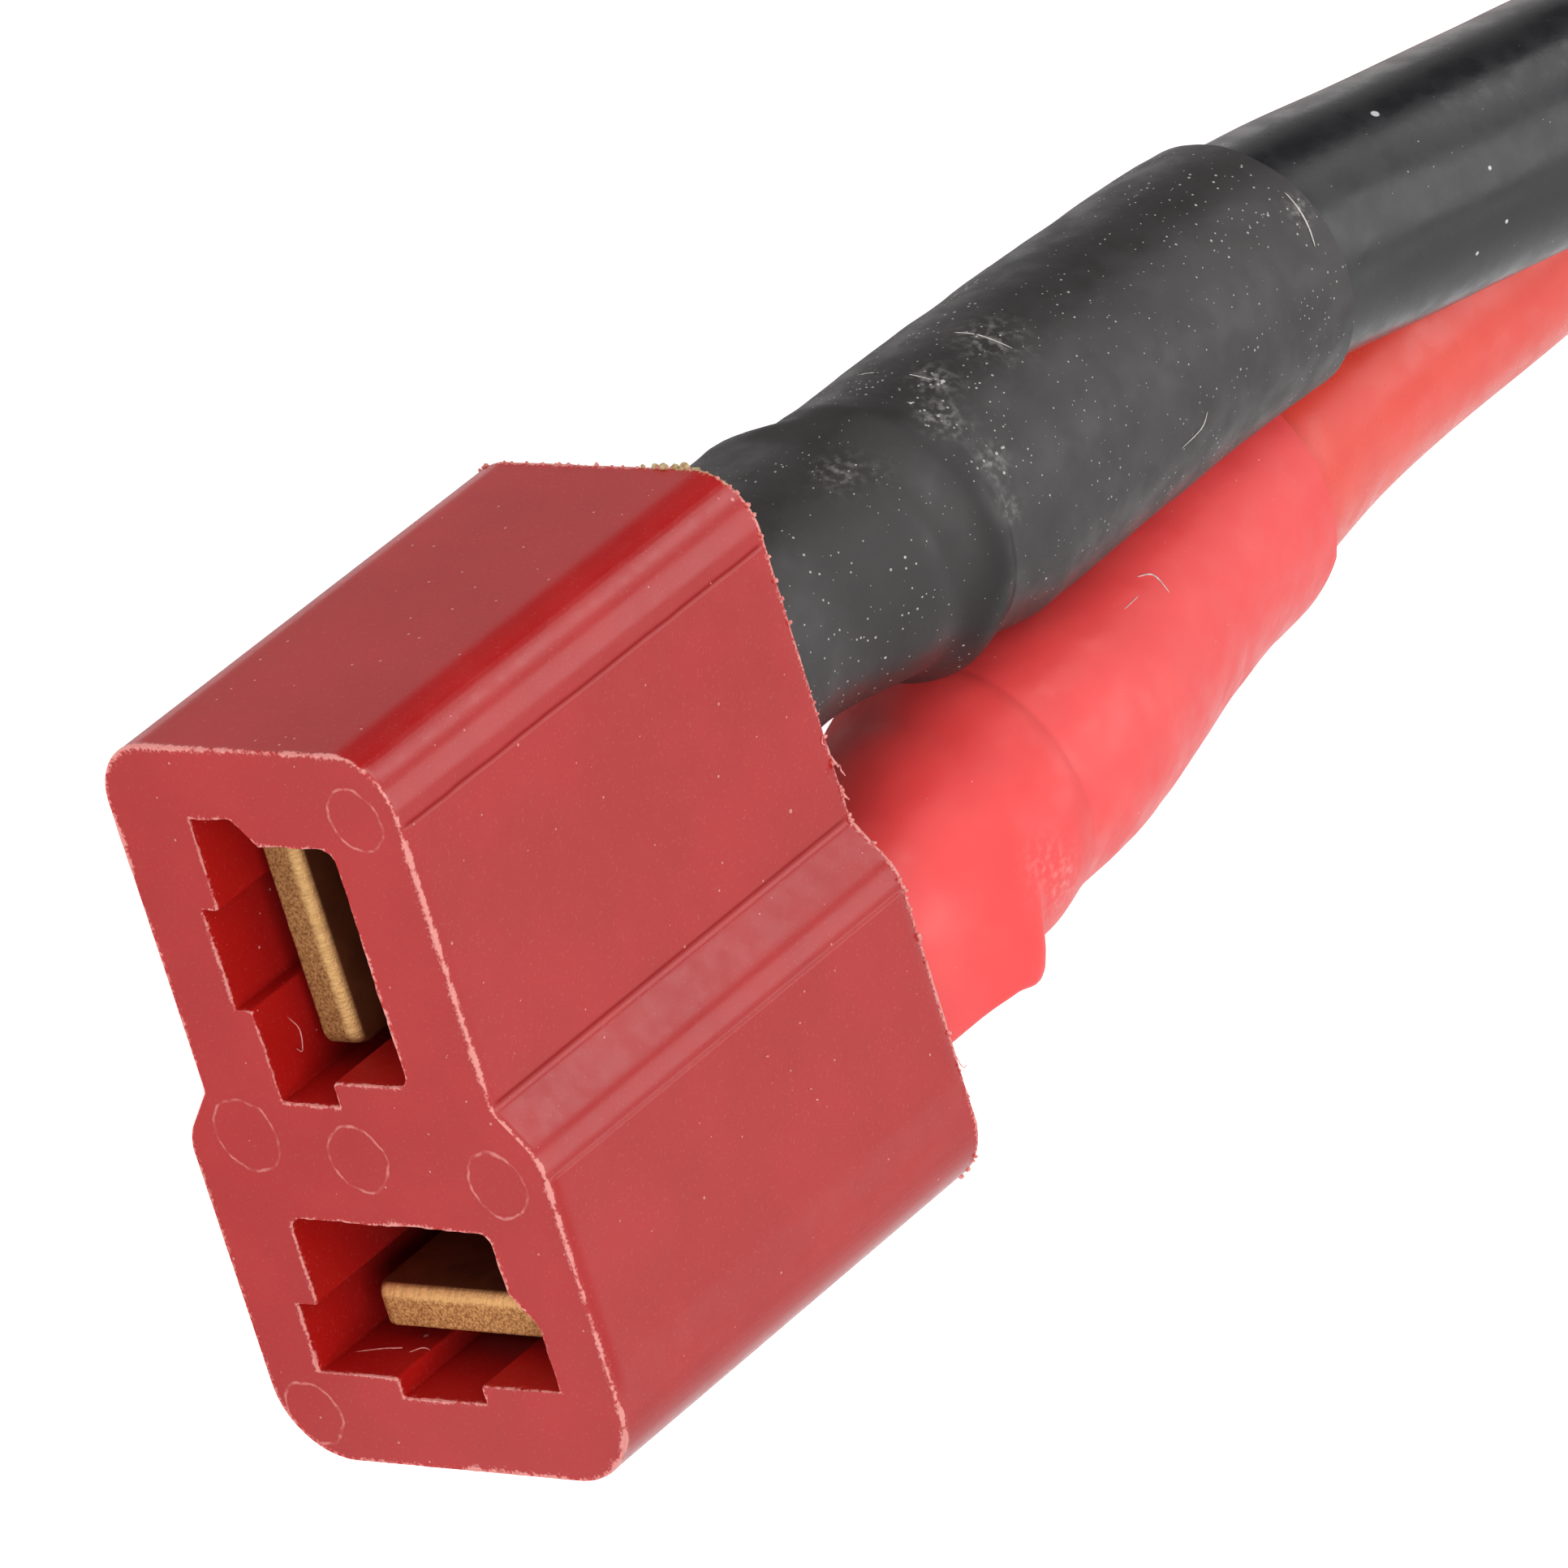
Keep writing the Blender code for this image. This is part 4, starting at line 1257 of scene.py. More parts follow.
        edge_height = np.array([0.012, -0.012, -0.004, 0.0, 0.0, 0.0]) * MM
        reach = (0.07 + 0.11 * rim_burr) * MM
        for distance, lift in zip(near, edge_height):
            share = np.minimum(distance / length, 0.45)
            white = np.clip(1.25 * rim_burr * (1.0 - distance / reach), 0.0, 1.0)
            y = FACE_Y + lift * rim_burr * 2.0
            add(outer + span * share, y, white)
        for share in middle:
            inner = np.minimum(near[-1] / length, 0.45)
            add(outer + span * (inner + (1.0 - 2.0 * inner) * share), FACE_Y, 0.0)
        shift = self.wander(pole.place(mouth))[:, None]
        outward = -span / length
        reach = (0.045 + 0.085 * mouth_burr) * MM
        for distance, lift in zip(near[::-1], edge_height[::-1]):
            share = np.minimum(distance / length, 0.45)
            fade = math.exp(-((distance / (0.08 * MM)) ** 2))
            white = np.clip(1.2 * mouth_burr * (1.0 - distance / reach), 0.0, 1.0)
            y = FACE_Y + lift * mouth_burr * 2.0
            add(mouth - span * share + outward * shift * fade, y, white)
        for depth in (0.03, 0.07, 0.13, 0.25, 0.5, 0.9, 1.5, 2.5, 4.0, 6.0, 8.0, 9.7):
            fade = math.exp(-((depth / 0.10) ** 2))
            white = np.clip(0.7 * mouth_burr * (1.0 - depth / 0.09), 0.0, 1.0)
            add(mouth + outward * shift * fade, FACE_Y + depth * MM, white)
        floor = REAR_Y - REAR_WALL
        add(mouth + (slot - mouth) * 0.02, floor, 0.0)
        add(mouth + (slot - mouth) * 0.98, floor, 0.0)
        for depth in (0.0, 0.15, 1.0, 1.9):
            add(slot, floor + depth * MM, 0.0)
        back = slot - outer
        for share in (0.97, 0.8, 0.6, 0.4, 0.22, 0.1):
            add(outer + back * share, REAR_Y, 0.0)
        back_burr = self.burr(pole.place(outer), self.back_seed) * on_rim
        for distance in (0.12 * MM, 0.05 * MM, 0.0):
            share = np.minimum(distance / np.linalg.norm(back, axis=1, keepdims=True), 0.09)
            white = np.clip(1.1 * back_burr * (1.0 - distance / (0.09 * MM)), 0.0, 1.0)
            lift = self.back_tip(back_burr) * (distance == 0.0) * on_rim
            add(outer + back * share, REAR_Y + lift, white)
        points = pole.lifted(np.stack(planes), np.stack(heights))
        return Sheet(points, np.stack(flash_and_painted_shade))

    def outer_wall(self, rim: np.ndarray) -> Sheet:
        """The wall between the front and back rims, its two edges broken by small roundings.

        Args:
            rim: The rim's points (x, z), in order.

        Returns:
            The wall's grid.
        """
        front = self.burr(rim, self.front_seed)
        back = self.burr(rim, self.back_seed)
        after = np.roll(rim, -1, axis=0) - np.roll(rim, 1, axis=0)
        outward = np.stack([after[:, 1], -after[:, 0]], axis=-1)
        outward /= np.linalg.norm(outward, axis=1, keepdims=True)
        on_split = np.isclose(rim[:, 0], self.split_x, atol=1e-12)
        start = FACE_Y + 0.024 * MM * np.where(on_split, 0.0, front)
        end = REAR_Y + self.back_tip(back) * ~on_split
        standing = np.maximum(back - 0.5, 0.0)
        broad = np.abs(outward[:, 1]) > 0.8
        # Painted shade in the concave corner along the hollow line of the broad faces.
        dark = np.exp(-(((rim[:, 0] - self.hollow_line) / (0.055 * MM)) ** 2)) * broad
        rows = []
        flash_and_painted_shade = []
        total = BODY_DEPTH / MM
        near = (0.0, 0.02, 0.05, 0.09, 0.15, 0.25)
        depths = [*near, *np.linspace(0.4, total - 0.4, 48), *(total - d for d in near[::-1])]
        for ahead in depths:
            behind = total - ahead
            share = ahead / total
            bulge = 0.014 * MM * np.exp(-(((ahead - 0.04) / 0.03) ** 2)) * front
            bulge = bulge + 0.030 * MM * np.exp(-(((behind - 0.04) / 0.04) ** 2)) * standing
            held = 0.0 if min(ahead, behind) == 0.0 else 1.0
            fade = float(eased(np.array(min(ahead, behind) / 0.3)))
            relief = self.panels(rim, outward, share) * fade
            flat = rim + outward * (bulge * held + relief)[:, None]
            flat[:, 1] = np.maximum(flat[:, 1], 0.0)
            y = start + (end - start) * share
            rows.append(np.stack([flat[:, 0], y, flat[:, 1]], axis=-1))
            near_front = np.clip(1.3 * front * (1.0 - ahead / (0.03 + 0.07 * front)), 0.0, 1.0)
            near_back = np.clip(1.3 * back * (1.0 - behind / (0.05 + 0.10 * back)), 0.0, 1.0)
            # Painted shade along the groove of the broad faces; it and the hollow line's shade are
            # taken off the flash values.
            groove = np.exp(-(((rim[:, 0] - self.leaning(share)) / (0.050 * MM)) ** 2)) * broad
            flash_and_painted_shade.append(np.maximum(near_front, near_back) - np.maximum(dark, groove) * fade)
        return Sheet(np.stack(rows), np.stack(flash_and_painted_shade))

    def leaning(self, share: float) -> float:
        """Where along x the groove of the broad faces runs, with a ragged course."""
        place = np.array([0.0, share * BODY_DEPTH, 0.0])
        ragged = 0.030 * MM * float(self.noise.rough(place, 0.5 * MM))
        return -6.44 * MM + ragged

    def panels(self, rim: np.ndarray, outward: np.ndarray, share: float) -> np.ndarray:
        """How far the broad faces stand off the outline, where the mould's inserts meet.

        Each broad face is raised a little between its two lines, and the first is a fine groove.

        Args:
            rim: The outline's points.
            outward: Their outward directions.
            share: How far back along the housing, from 0 to 1.

        Returns:
            The rise at every point.
        """
        x = rim[:, 0]
        broad = np.abs(outward[:, 1]) > 0.9
        leaning = self.leaning(share)
        narrow = 0.45 * eased((x - leaning) / self.line_width) * (x < POCKET_SHIFT)
        narrow = narrow * eased((self.hollow_line + 0.10 * MM - x) / (0.2 * MM))
        narrow = narrow - 0.9 * np.exp(-(((x - leaning) / (0.045 * MM)) ** 2))
        wide = eased((x - self.crest_line) / self.line_width)
        wide = wide * eased((6.35 * MM - x) / (1.0 * MM))
        return self.line_rise * np.where(broad, np.maximum(narrow, wide), 0.0)

    def build(self, finish: bpy.types.Material) -> bpy.types.Object:
        """Makes the housing and puts it in place of the model's node."""
        obj = dressed(sheets_to_object("housing_skin", self.sheets()), finish)
        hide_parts("housing")
        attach(obj, SOCKET)
        return obj


@dataclass
class Lead:
    """An insulated lead with its tinned end, along the route of its pole."""

    pole: Pole
    finish: bpy.types.Material
    tinned: bpy.types.Material
    row_step: float = 0.5 * MM
    columns: int = 96

    def line(self) -> np.ndarray:
        """The centre line: a short straight start, then a Catmull-Rom curve, cut to length."""
        x, z = self.pole.place(np.array([self.pole.bar_offset, LEAD_RISE]))
        start = np.array([x, FACE_Y + self.pole.lead_depth, z])
        ahead = start + [0.0, 1.0 * MM, 0.0]
        points = np.vstack([start, ahead, np.array(self.pole.route)])
        fine = curved(points, 60 * len(points))
        lengths = np.concatenate([[0.0], np.cumsum(np.linalg.norm(np.diff(fine, axis=0), axis=1))])
        wanted = np.linspace(0.0, LEAD_LENGTH, int(LEAD_LENGTH / self.row_step) + 1)
        return np.stack([np.interp(wanted, lengths, fine[:, k]) for k in range(3)], axis=-1)

    @staticmethod
    def frames(line: np.ndarray) -> tuple[np.ndarray, np.ndarray]:
        """Two directions across the line at each point, level and upright."""
        along = np.gradient(line, axis=0)
        along /= np.linalg.norm(along, axis=1, keepdims=True)
        level = np.cross(along, [0.0, 0.0, 1.0])
        level /= np.linalg.norm(level, axis=1, keepdims=True)
        return level, np.cross(level, along)

    def tube(self, line: np.ndarray, radius: np.ndarray) -> np.ndarray:
        """Rings round a line: centre + radius (cos u level + sin u upright)."""
        level, upright = self.frames(line)
        turn = np.linspace(0.0, 2 * math.pi, self.columns, endpoint=False)
        spokes = level[:, None] * np.cos(turn)[:, None] + upright[:, None] * np.sin(turn)[:, None]
        return line[:, None] + spokes * np.broadcast_to(radius, spokes.shape[:2])[..., None]

    def capped(self, points: np.ndarray, line: np.ndarray) -> np.ndarray:
        """Adds rows that close both ends of a tube with slightly rounded faces."""
        front = line[0] + (points[0] - line[0]) * np.array([0.0, 0.5, 0.95])[:, None, None]
        back = line[-1] + (points[-1] - line[-1]) * np.array([0.95, 0.5, 0.0])[:, None, None]
        return np.vstack([front, points, back])

    def build(self) -> bpy.types.Object:
        name = self.pole.side.value
        line = self.line()
        body = self.tube(line, np.full((len(line), 1), LEAD_DIAMETER / 2))
        turn = np.linspace(0.0, 2 * math.pi, self.columns, endpoint=False)[None]
        along = np.linspace(0.0, LEAD_LENGTH / 11, len(line))[:, None]
        flutes = np.stack(np.broadcast_arrays(np.cos(turn) * MM, np.sin(turn) * MM, along), -1)
        uneven = ValueNoise(61 + self.pole.quarter).rough(flutes, 0.9 * MM, 2)
        centre = line[:, None]
        body = centre + (body - centre) * (1.0 - 0.008 - 0.010 * uneven[..., None])
        lead = sheets_to_object(f"{name}_lead_skin", [Sheet(self.capped(body, line))])
        dressed(lead, self.finish)
        end = self.strands(line)
        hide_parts(f"{name}_lead")
        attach(lead, SOCKET)
        return lead

    def strands(self, line: np.ndarray) -> bpy.types.Object:
        """The tinned end: a twisted bundle whose radius ripples as |cos| of the strands' turn."""
        name = self.pole.side.value
        along = line[-1] - line[-2]
        along /= np.linalg.norm(along)
        steps = np.linspace(JOINT_GAP, JOINT_GAP + TINNED_LENGTH, 40)
        core = line[-1] + along * steps[:, None]
        turn = np.linspace(0.0, 2 * math.pi, 140, endpoint=False)
        twist = steps[:, None] / (22 * MM) * 2 * math.pi
        ripple = np.abs(np.cos(7 * (turn + twist)))
        radius = STRAND_DIAMETER / 2 * (0.90 + 0.085 * ripple)
        radius[-3:] *= np.array([0.98, 0.93, 0.82])[:, None]
        level, upright = self.frames(core)
        spokes = level[:, None] * np.cos(turn)[:, None] + upright[:, None] * np.sin(turn)[:, None]
        points = core[:, None] + spokes * radius[..., None]
        end = sheets_to_object(f"{name}_tinned_end_skin", [Sheet(self.capped(points, core))])
        dressed(end, self.tinned)
        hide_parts(f"{name}_tinned_end")
        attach(end, SOCKET)
        return end


@dataclass(frozen=True)
class SleeveForm:
    """What shrinking did to one sleeve, and how strong the painted shade in its crease is.

    Attributes:
        flat_end: How far before the lead's beginning the flat part turns round.
        turn_length: Length over which it does.
        wide_start: How far before the lead's beginning its sides start to widen.
        wide_length: Length over which they do.
        neck: How far the flat part's sides are drawn in behind the tail.
        neck_place: How far before the lead's beginning they are drawn in most.
        neck_reach: Half the length of that neck.
        corner: Power of the superellipse at the flat part's low corners.
        dent: Depth of a hollow on one side, between the tail's end and the lead.
        dent_place: How far before the lead's beginning it lies.
        dent_reach: Half its length.
        dent_turn: Turn at which it is deepest, in radians.
        crease: Depth of the crease where the lead begins.
        fall: Length of its front slope.
        rise: Length of its back slope.
        crease_turn: Turn at which it is deepest, in radians.
        dark: How strong the painted shade on its front slope is, from 0 to 1.
        pinch: How far the low side is drawn in behind the crease.
        flare: How far the low side stands off the lead at the end.
        trim: How much shorter the shrunk end is.
        cut_slope: Slope of the cut across the low side of the end.
        wear_and_crease_shade: Scuffed places: x, y, z and reach in millimetres; the sleeve's values
            of this name also take the painted crease shade.
    """

    flat_end: float = 2.15 * MM
    turn_length: float = 1.3 * MM
    wide_start: float = 1.6 * MM
    wide_length: float = 1.0 * MM
    neck: float = 0.13 * MM
    neck_place: float = 4.3 * MM
    neck_reach: float = 1.9 * MM
    corner: float = 13.0
    dent: float = 0.13 * MM
    dent_place: float = 2.9 * MM
    dent_reach: float = 1.45 * MM
    dent_turn: float = -0.36
    crease: float = 0.28 * MM
    fall: float = 1.1 * MM
    rise: float = 1.9 * MM
    crease_turn: float = 0.15
    dark: float = 1.0
    pinch: float = 0.0
    flare: float = 0.0
    trim: float = 0.0
    cut_slope: float = 0.0
    wear_and_crease_shade: tuple[tuple[float, float, float, float], ...] = ()


@dataclass
class Sleeve:
    """A heat-shrink sleeve: flat over the tail, then a step, then round over the lead."""

    pole: Pole
    line: np.ndarray
    finish: bpy.types.Material
    wall: float = 0.18 * MM
    gap: float = 0.10 * MM
    bulge: float = 0.17 * MM
    form: SleeveForm = SleeveForm()
    columns: int = 180

    def grid(self) -> tuple[np.ndarray, np.ndarray]:
        """Depths of the rings, close together at the crease, and turns round them."""
        start = BODY_DEPTH + SLEEVE_SEAT_GAP
        seam = self.pole.lead_depth
        end = start + self.pole.sleeve_length - self.form.trim
        stops = (start, seam - 0.6 * MM, seam + 0.4 * MM, end)
        counts = (50, 45, 115)
        runs = [
            np.linspace(a, b, n, endpoint=False) for a, b, n in zip(stops, stops[1:], counts)
        ]
        depth = np.concatenate([*runs, stops[-1:]])[:, None]
        return depth, np.linspace(0.0, 2 * math.pi, self.columns, endpoint=False)[None]

    def valley(self, depth: np.ndarray, turn: np.ndarray) -> tuple[np.ndarray, np.ndarray]:
        """The crease where the lead begins: a quick fall as t^2, then a slow rise.

        Args:
            depth: Depths of the rings.
            turn: Turns round them.

        Returns:
            How deep it is and how strong its painted shade is, from 0 to 1, for every ring and
            turn.
        """
        form = self.form
        past = depth - self.pole.lead_depth
        ramp = np.clip(1.0 + past / form.fall, 0.0, 1.0) ** 2
        slow = 1.0 - eased(past / form.rise)
        lean = 0.10 + 0.90 * (0.5 + 0.5 * np.cos(turn - form.crease_turn)) ** 1.3
        before = eased(1.0 + past / (1.3 * form.fall))
        dark = np.where(past > 0, 1.0 - eased(past / (0.12 * MM)), before)
        return form.crease * np.where(past > 0, slow, ramp) * lean, form.dark * dark * lean

    def section(self, inset: float) -> np.ndarray:
        """Rings of the sleeve, worked out on a grid of depth and turn.

        A ring is a superellipse: a = half * sgn(cos u) |cos u|^(2/p), and the same with sin u for
        b. On the flat the power p is high below and 2.3 above, and on the round part it is 2.

        Args:
            inset: How far inside the outer surface the rings lie.

        Returns:
            Points x, y, z, rows by columns.
        """
        form = self.form
        depth, turn = self.grid()
        start = BODY_DEPTH + SLEEVE_SEAT_GAP
        seam = self.pole.lead_depth
        centre = np.stack(
            [np.interp(FACE_Y + depth[:, 0], self.line[:, 1], self.line[:, k]) for k in (0, 2)], -1
        )
        over = self.pole.across(centre)
        past = depth - seam
        share = eased((past + form.flat_end) / form.turn_length)
        wide = eased((past + form.wide_start) / form.wide_length)
        tall = 0.55 * eased((past + 4.4 * MM) / (3.0 * MM))
        tall = tall + 0.45 * eased((past + 1.7 * MM) / (1.6 * MM))
        drawn = form.neck * np.exp(-(((past + form.neck_place) / form.neck_reach) ** 2))
        sunk, _ = self.valley(depth, turn)
        facing = (0.5 + 0.5 * np.cos(turn - form.dent_turn)) ** 3
        dented = np.exp(-(((past + form.dent_place) / form.dent_reach) ** 2))
        sunk = sunk + form.dent * dented * facing
        taper = 1.0 - (depth - start) / self.pole.sleeve_length
        radius = LEAD_DIAMETER / 2 + self.gap + self.wall + self.bulge * 2 * taper
        shell = self.wall + JOINT_GAP
        flat_low = BAR_MIDDLE - BAR_THICKNESS / 2 - shell
        joint = STRAND_RISE + STRANDS_LAID + SOLDER_COVER + JOINT_GAP
        flat_high = joint + JOINT_SWELL + self.wall
        mid_a = self.pole.bar_offset + (over[:, :1] - self.pole.bar_offset) * share
        half = TAIL_WIDTH / 2 + shell + (radius - TAIL_WIDTH / 2 - shell) * wide
        half = half - inset - sunk - drawn
        low = flat_low + (over[:, 1:] - radius - flat_low) * share + inset
        behind = eased((past + 0.8 * MM) / (1.4 * MM))
        behind = behind * (1.0 - eased((past - 5.0 * MM) / (5.0 * MM)))
        low = low + np.minimum(form.pinch, self.gap + 2 * self.bulge * taper - 0.02 * MM) * behind
        high = flat_high + (over[:, 1:] + radius - flat_high) * tall - inset - sunk
        c = np.cos(turn)
        s = np.sin(turn)
        power = np.where(s > 0, 2.3, form.corner)
        power = 2.0 + (power - 2.0) * (1.0 - share)
        a = mid_a + half * np.sign(c) * np.abs(c) ** (2.0 / power)
        waist = (low + high) / 2 - (0.9 * MM) * (1.0 - share)
        reach = np.where(s > 0, high - waist, waist - low)
        b = waist + reach * np.sign(s) * np.abs(s) ** (2.0 / power)
        low_side = 0.17 * (a - mid_a) - 0.98 * (b - (low + high) / 2)
        lifted = form.flare * eased(low_side / (2.4 * MM)) * eased(1.0 - taper / 0.14)
        b = b - lifted
        cut = form.cut_slope * np.maximum(low_side - 1.7 * MM, 0.0) * (1.0 - taper) ** 6
        return self.pole.lifted(np.stack([a, b], axis=-1), FACE_Y + depth - cut)

    def build(self) -> bpy.types.Object:
        """Makes the sleeve and puts it in place of the model's node."""
        name = self.pole.side.value
        outer = self.section(0.0)
        inner = self.section(self.wall)
        grain = ValueNoise(71 + self.pole.quarter)
        swell = grain.rough(outer, 1.3 * MM, 4)
        middle = outer.mean(axis=1, keepdims=True)
        outward = outer - middle
        outward /= np.linalg.norm(outward, axis=-1, keepdims=True)
        outer = outer + outward * (0.030 * MM * swell)[..., None]
        rough_end = 0.05 * MM * grain.at(outer[-1:] * [1.0, 0.0, 1.0], 0.8 * MM)
        outer[-1:, :, 1] += rough_end
        inner[-1:, :, 1] += rough_end
        loop = np.concatenate([outer, inner[::-1], outer[:1]])
        wear_and_crease_shade = np.zeros(loop.shape[:2])
        for x, y, z, reach in self.form.wear_and_crease_shade:
            apart = np.linalg.norm(loop - np.array([x, y, z]) * MM, axis=-1) / (reach * MM)
            wear_and_crease_shade = np.maximum(wear_and_crease_shade, np.exp(-(apart**2)))
        # Painted shade of the crease, taken off the wear values so that the material paints it
        # darker.
        _, dark = self.valley(*self.grid())
        wear_and_crease_shade[: len(outer)] -= dark * (1.0 - wear_and_crease_shade[: len(outer)])
        sleeve = sheets_to_object(f"{name}_sleeve_skin", [Sheet(loop, wear_and_crease_shade)])
        dressed(sleeve, self.finish)
        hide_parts(f"{name}_sleeve")
        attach(sleeve, SOCKET)
        return sleeve


@dataclass
class Contact:
    """A contact bar with its tail, as a slab whose edges are slightly rounded by shearing."""

    pole: Pole
    finish: bpy.types.Material
    nose_round: float = 0.35 * MM
    tail_round: float = 0.8 * MM
    edge: float = 0.07 * MM
    shear: float = 0.26 * MM

    def outline(self) -> np.ndarray:
        """The plan (a, y) of the bar and tail, counter-clockwise."""
        nose = FACE_Y + BAR_SETBACK
        step = REAR_Y
        tip = REAR_Y + TAIL_LENGTH
        bar = BAR_WIDTH / 2
        tail = TAIL_WIDTH / 2
        corners = (
            (-bar, nose, self.nose_round),
            (bar, nose, self.nose_round),
            (bar, step, 0.05 * MM),
            (tail, step, 0.05 * MM),
            (tail, tip, self.tail_round),
            (-tail, tip, self.tail_round),
            (-tail, step, 0.05 * MM),
            (-bar, step, 0.05 * MM),
        )
        return divided(filleted(corners, math.radians(8)), 0.06 * MM)

    def build(self) -> bpy.types.Object:
        """Makes the contact: the plan inset and raised row by row over the slab's edge.

        The rows follow a quarter circle at either edge, then close on the plan's middle line.
        """
        name = self.pole.side.value
        plan = self.outline()
        after = np.roll(plan, -1, axis=0) - np.roll(plan, 1, axis=0)
        inward = np.stack([-after[:, 1], after[:, 0]], axis=-1)
        inward /= np.linalg.norm(inward, axis=1, keepdims=True)
        middle = np.clip(plan[:, 1], FACE_Y + 3.2 * MM, REAR_Y + 4 * MM)
        spine = np.stack([np.zeros(len(plan)), middle], -1)
        half = BAR_THICKNESS / 2
        flank = half - self.edge
        inner = plan + inward * self.edge
        quarter = np.linspace(0.0, math.pi / 2, 5)
        flats = [plan + inward * self.edge * (1 - math.sin(angle)) for angle in quarter]
        lifts = [half - self.edge * (1 - math.cos(angle)) for angle in quarter]
        rows = [(inner + (spine - inner) * share, -half) for share in (1.0, 0.5)]
        rows += [(flat, -lift) for flat, lift in zip(flats, lifts)]
        rows += [(plan, lift) for lift in np.linspace(-flank, flank, 16)[1:-1]]
        rows += list(zip(flats, lifts))[::-1]
        rows += [(inner + (spine - inner) * share, half) for share in (0.02, 0.05, 0.12, 0.5, 1.0)]
        grain = ValueNoise(81 + self.pole.quarter)
        sheets = []
        for flat, lift in rows:
            a = flat[:, 0] + self.pole.bar_offset
            b = BAR_MIDDLE + lift
            sheets.append(self.pole.lifted(np.stack([a, np.full(len(a), b)], axis=-1), flat[:, 1]))
        points = np.stack(sheets)
        plane = self.pole.across(points[..., [0, 2]])
        behind = points[..., 1] - FACE_Y - BAR_SETBACK
        rough = grain.rough(points * [1.0, 0.3, 1.0], 0.07 * MM, 3)
        at_nose = np.clip(1.0 - behind / (0.12 * MM), 0.0, 1.0)
        below = BAR_MIDDLE + half - plane[..., 1]
        near_top = np.clip(1.0 - below / self.shear, 0.0, 1.0)
        sheared = np.clip(1.0 - behind / (0.5 * MM), 0.0, 1.0) * near_top**2
        points[..., 1] += at_nose * 0.012 * MM * (rough + 1.0) + 0.75 * self.shear * sheared
        lip = np.clip(1.3 - behind / (0.10 * MM), 0.0, 1.0) * eased(2.0 * near_top)
        contact = sheets_to_object(f"{name}_contact_skin", [Sheet(points, lip)])
        dressed(contact, self.finish)
        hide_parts(f"{name}_contact")
        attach(contact, f"{name}_contact")
        return contact


@dataclass(frozen=True)
class Strand:
    """A fibre or shaving: points in millimetres, its radius and how far its far end stands off."""

    points: tuple[tuple[float, float, float], ...]
    radius: float = 0.015 * MM
    stands: float = 0.0


@dataclass
class Lint:
    """Fibres, shavings and grains of one finish, laid on the skins that carry them."""

    name: str
    finish: bpy.types.Material
    carriers: Sequence[bpy.types.Object]

    def laid(self, points: np.ndarray, lift: np.ndarray) -> np.ndarray:
        """The nearest places on the carriers, each lifted off along the surface's normal.

        Args:
            points: The places to lay down.
            lift: How far each stands off, in metres.

        Returns:
            The places laid down.
        """
        graph = bpy.context.evaluated_depsgraph_get()
        trees = [BVHTree.FromObject(carrier, graph) for carrier in self.carriers]
        found = []
        for point, height in zip(points, lift):
            hits = [tree.find_nearest(Vector(point)) for tree in trees]
            place, normal, _, _ = min(hits, key=lambda hit: hit[3])
            found.append(tuple(place + normal * float(height)))
        return np.array(found)

    def strand(self, strand: Strand) -> Sheet:
        """A thin tube of six sides along a strand, closed at both ends."""
        line = curved(np.array(strand.points) * MM, 6 * len(strand.points))
        along = np.linspace(0.0, 1.0, len(line))
        line = self.laid(line, strand.radius * 0.7 + strand.stands * along**2)
        ahead = np.gradient(line, axis=0)
        level = np.cross(ahead, [0.3, 0.2, 0.93])
        level /= np.linalg.norm(level, axis=1, keepdims=True)
        upright = np.cross(level, ahead)
        upright /= np.linalg.norm(upright, axis=1, keepdims=True)
        turn = np.linspace(0.0, 2 * math.pi, 6, endpoint=False)[:, None]
        spokes = level[:, None] * np.cos(turn) + upright[:, None] * np.sin(turn)
        thin = np.sin(np.linspace(0.0, math.pi, len(line))) ** 0.4
        return Sheet(line[:, None] + spokes * (strand.radius * thin)[:, None, None])

    def grains(self, places: np.ndarray, radii: np.ndarray, seed: int) -> list[Sheet]:
        """Small uneven balls, sunk a little into what carries them.

        Args:
            places: Their places in metres.
            radii: Their radii.
            seed: Seed of their unevenness.

        Returns:
            One closed sheet for each.
        """
        rise = np.linspace(-math.pi / 2, math.pi / 2, 7)[:, None]
        turn = np.linspace(0.0, 2 * math.pi, 9, endpoint=False)[None]
        level = np.cos(rise)
        ball = np.stack([level * np.cos(turn), level * np.sin(turn), np.sin(rise) + 0 * turn], -1)
        centres = self.laid(places, radii * 0.35)
        noise = ValueNoise(seed)
        made = []
        for centre, radius in zip(centres, radii):
            swell = 1.0 + 0.45 * noise.at(centre / radius + ball, 0.9)
            made.append(Sheet(centre + ball * (radius * swell)[..., None]))
        return made

    def build(self, sheets: Sequence[Sheet]) -> bpy.types.Object:
        """Makes one object of the sheets, which rides with the socket."""
        lint = dressed(sheets_to_object(self.name, sheets), self.finish)
        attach(lint, SOCKET)
        return lint


def mottled(name: str, light: Colour, dark: Colour, roughness: float) -> bpy.types.Material:
    """A material that wavers between two colours over a tenth of a millimetre.

    Args:
        name: The material's name.
        light: The lighter colour.
        dark: The darker colour.
        roughness: The shader's roughness.

    Returns:
        The material.
    """
    finish = Finish(name)
    share = finish.span(finish.noise(0.10 * MM, 2.0), 0.35, 0.65)
    finish.set(Base_Color=finish.mix(share, light, dark), Roughness=roughness)
    return finish.material


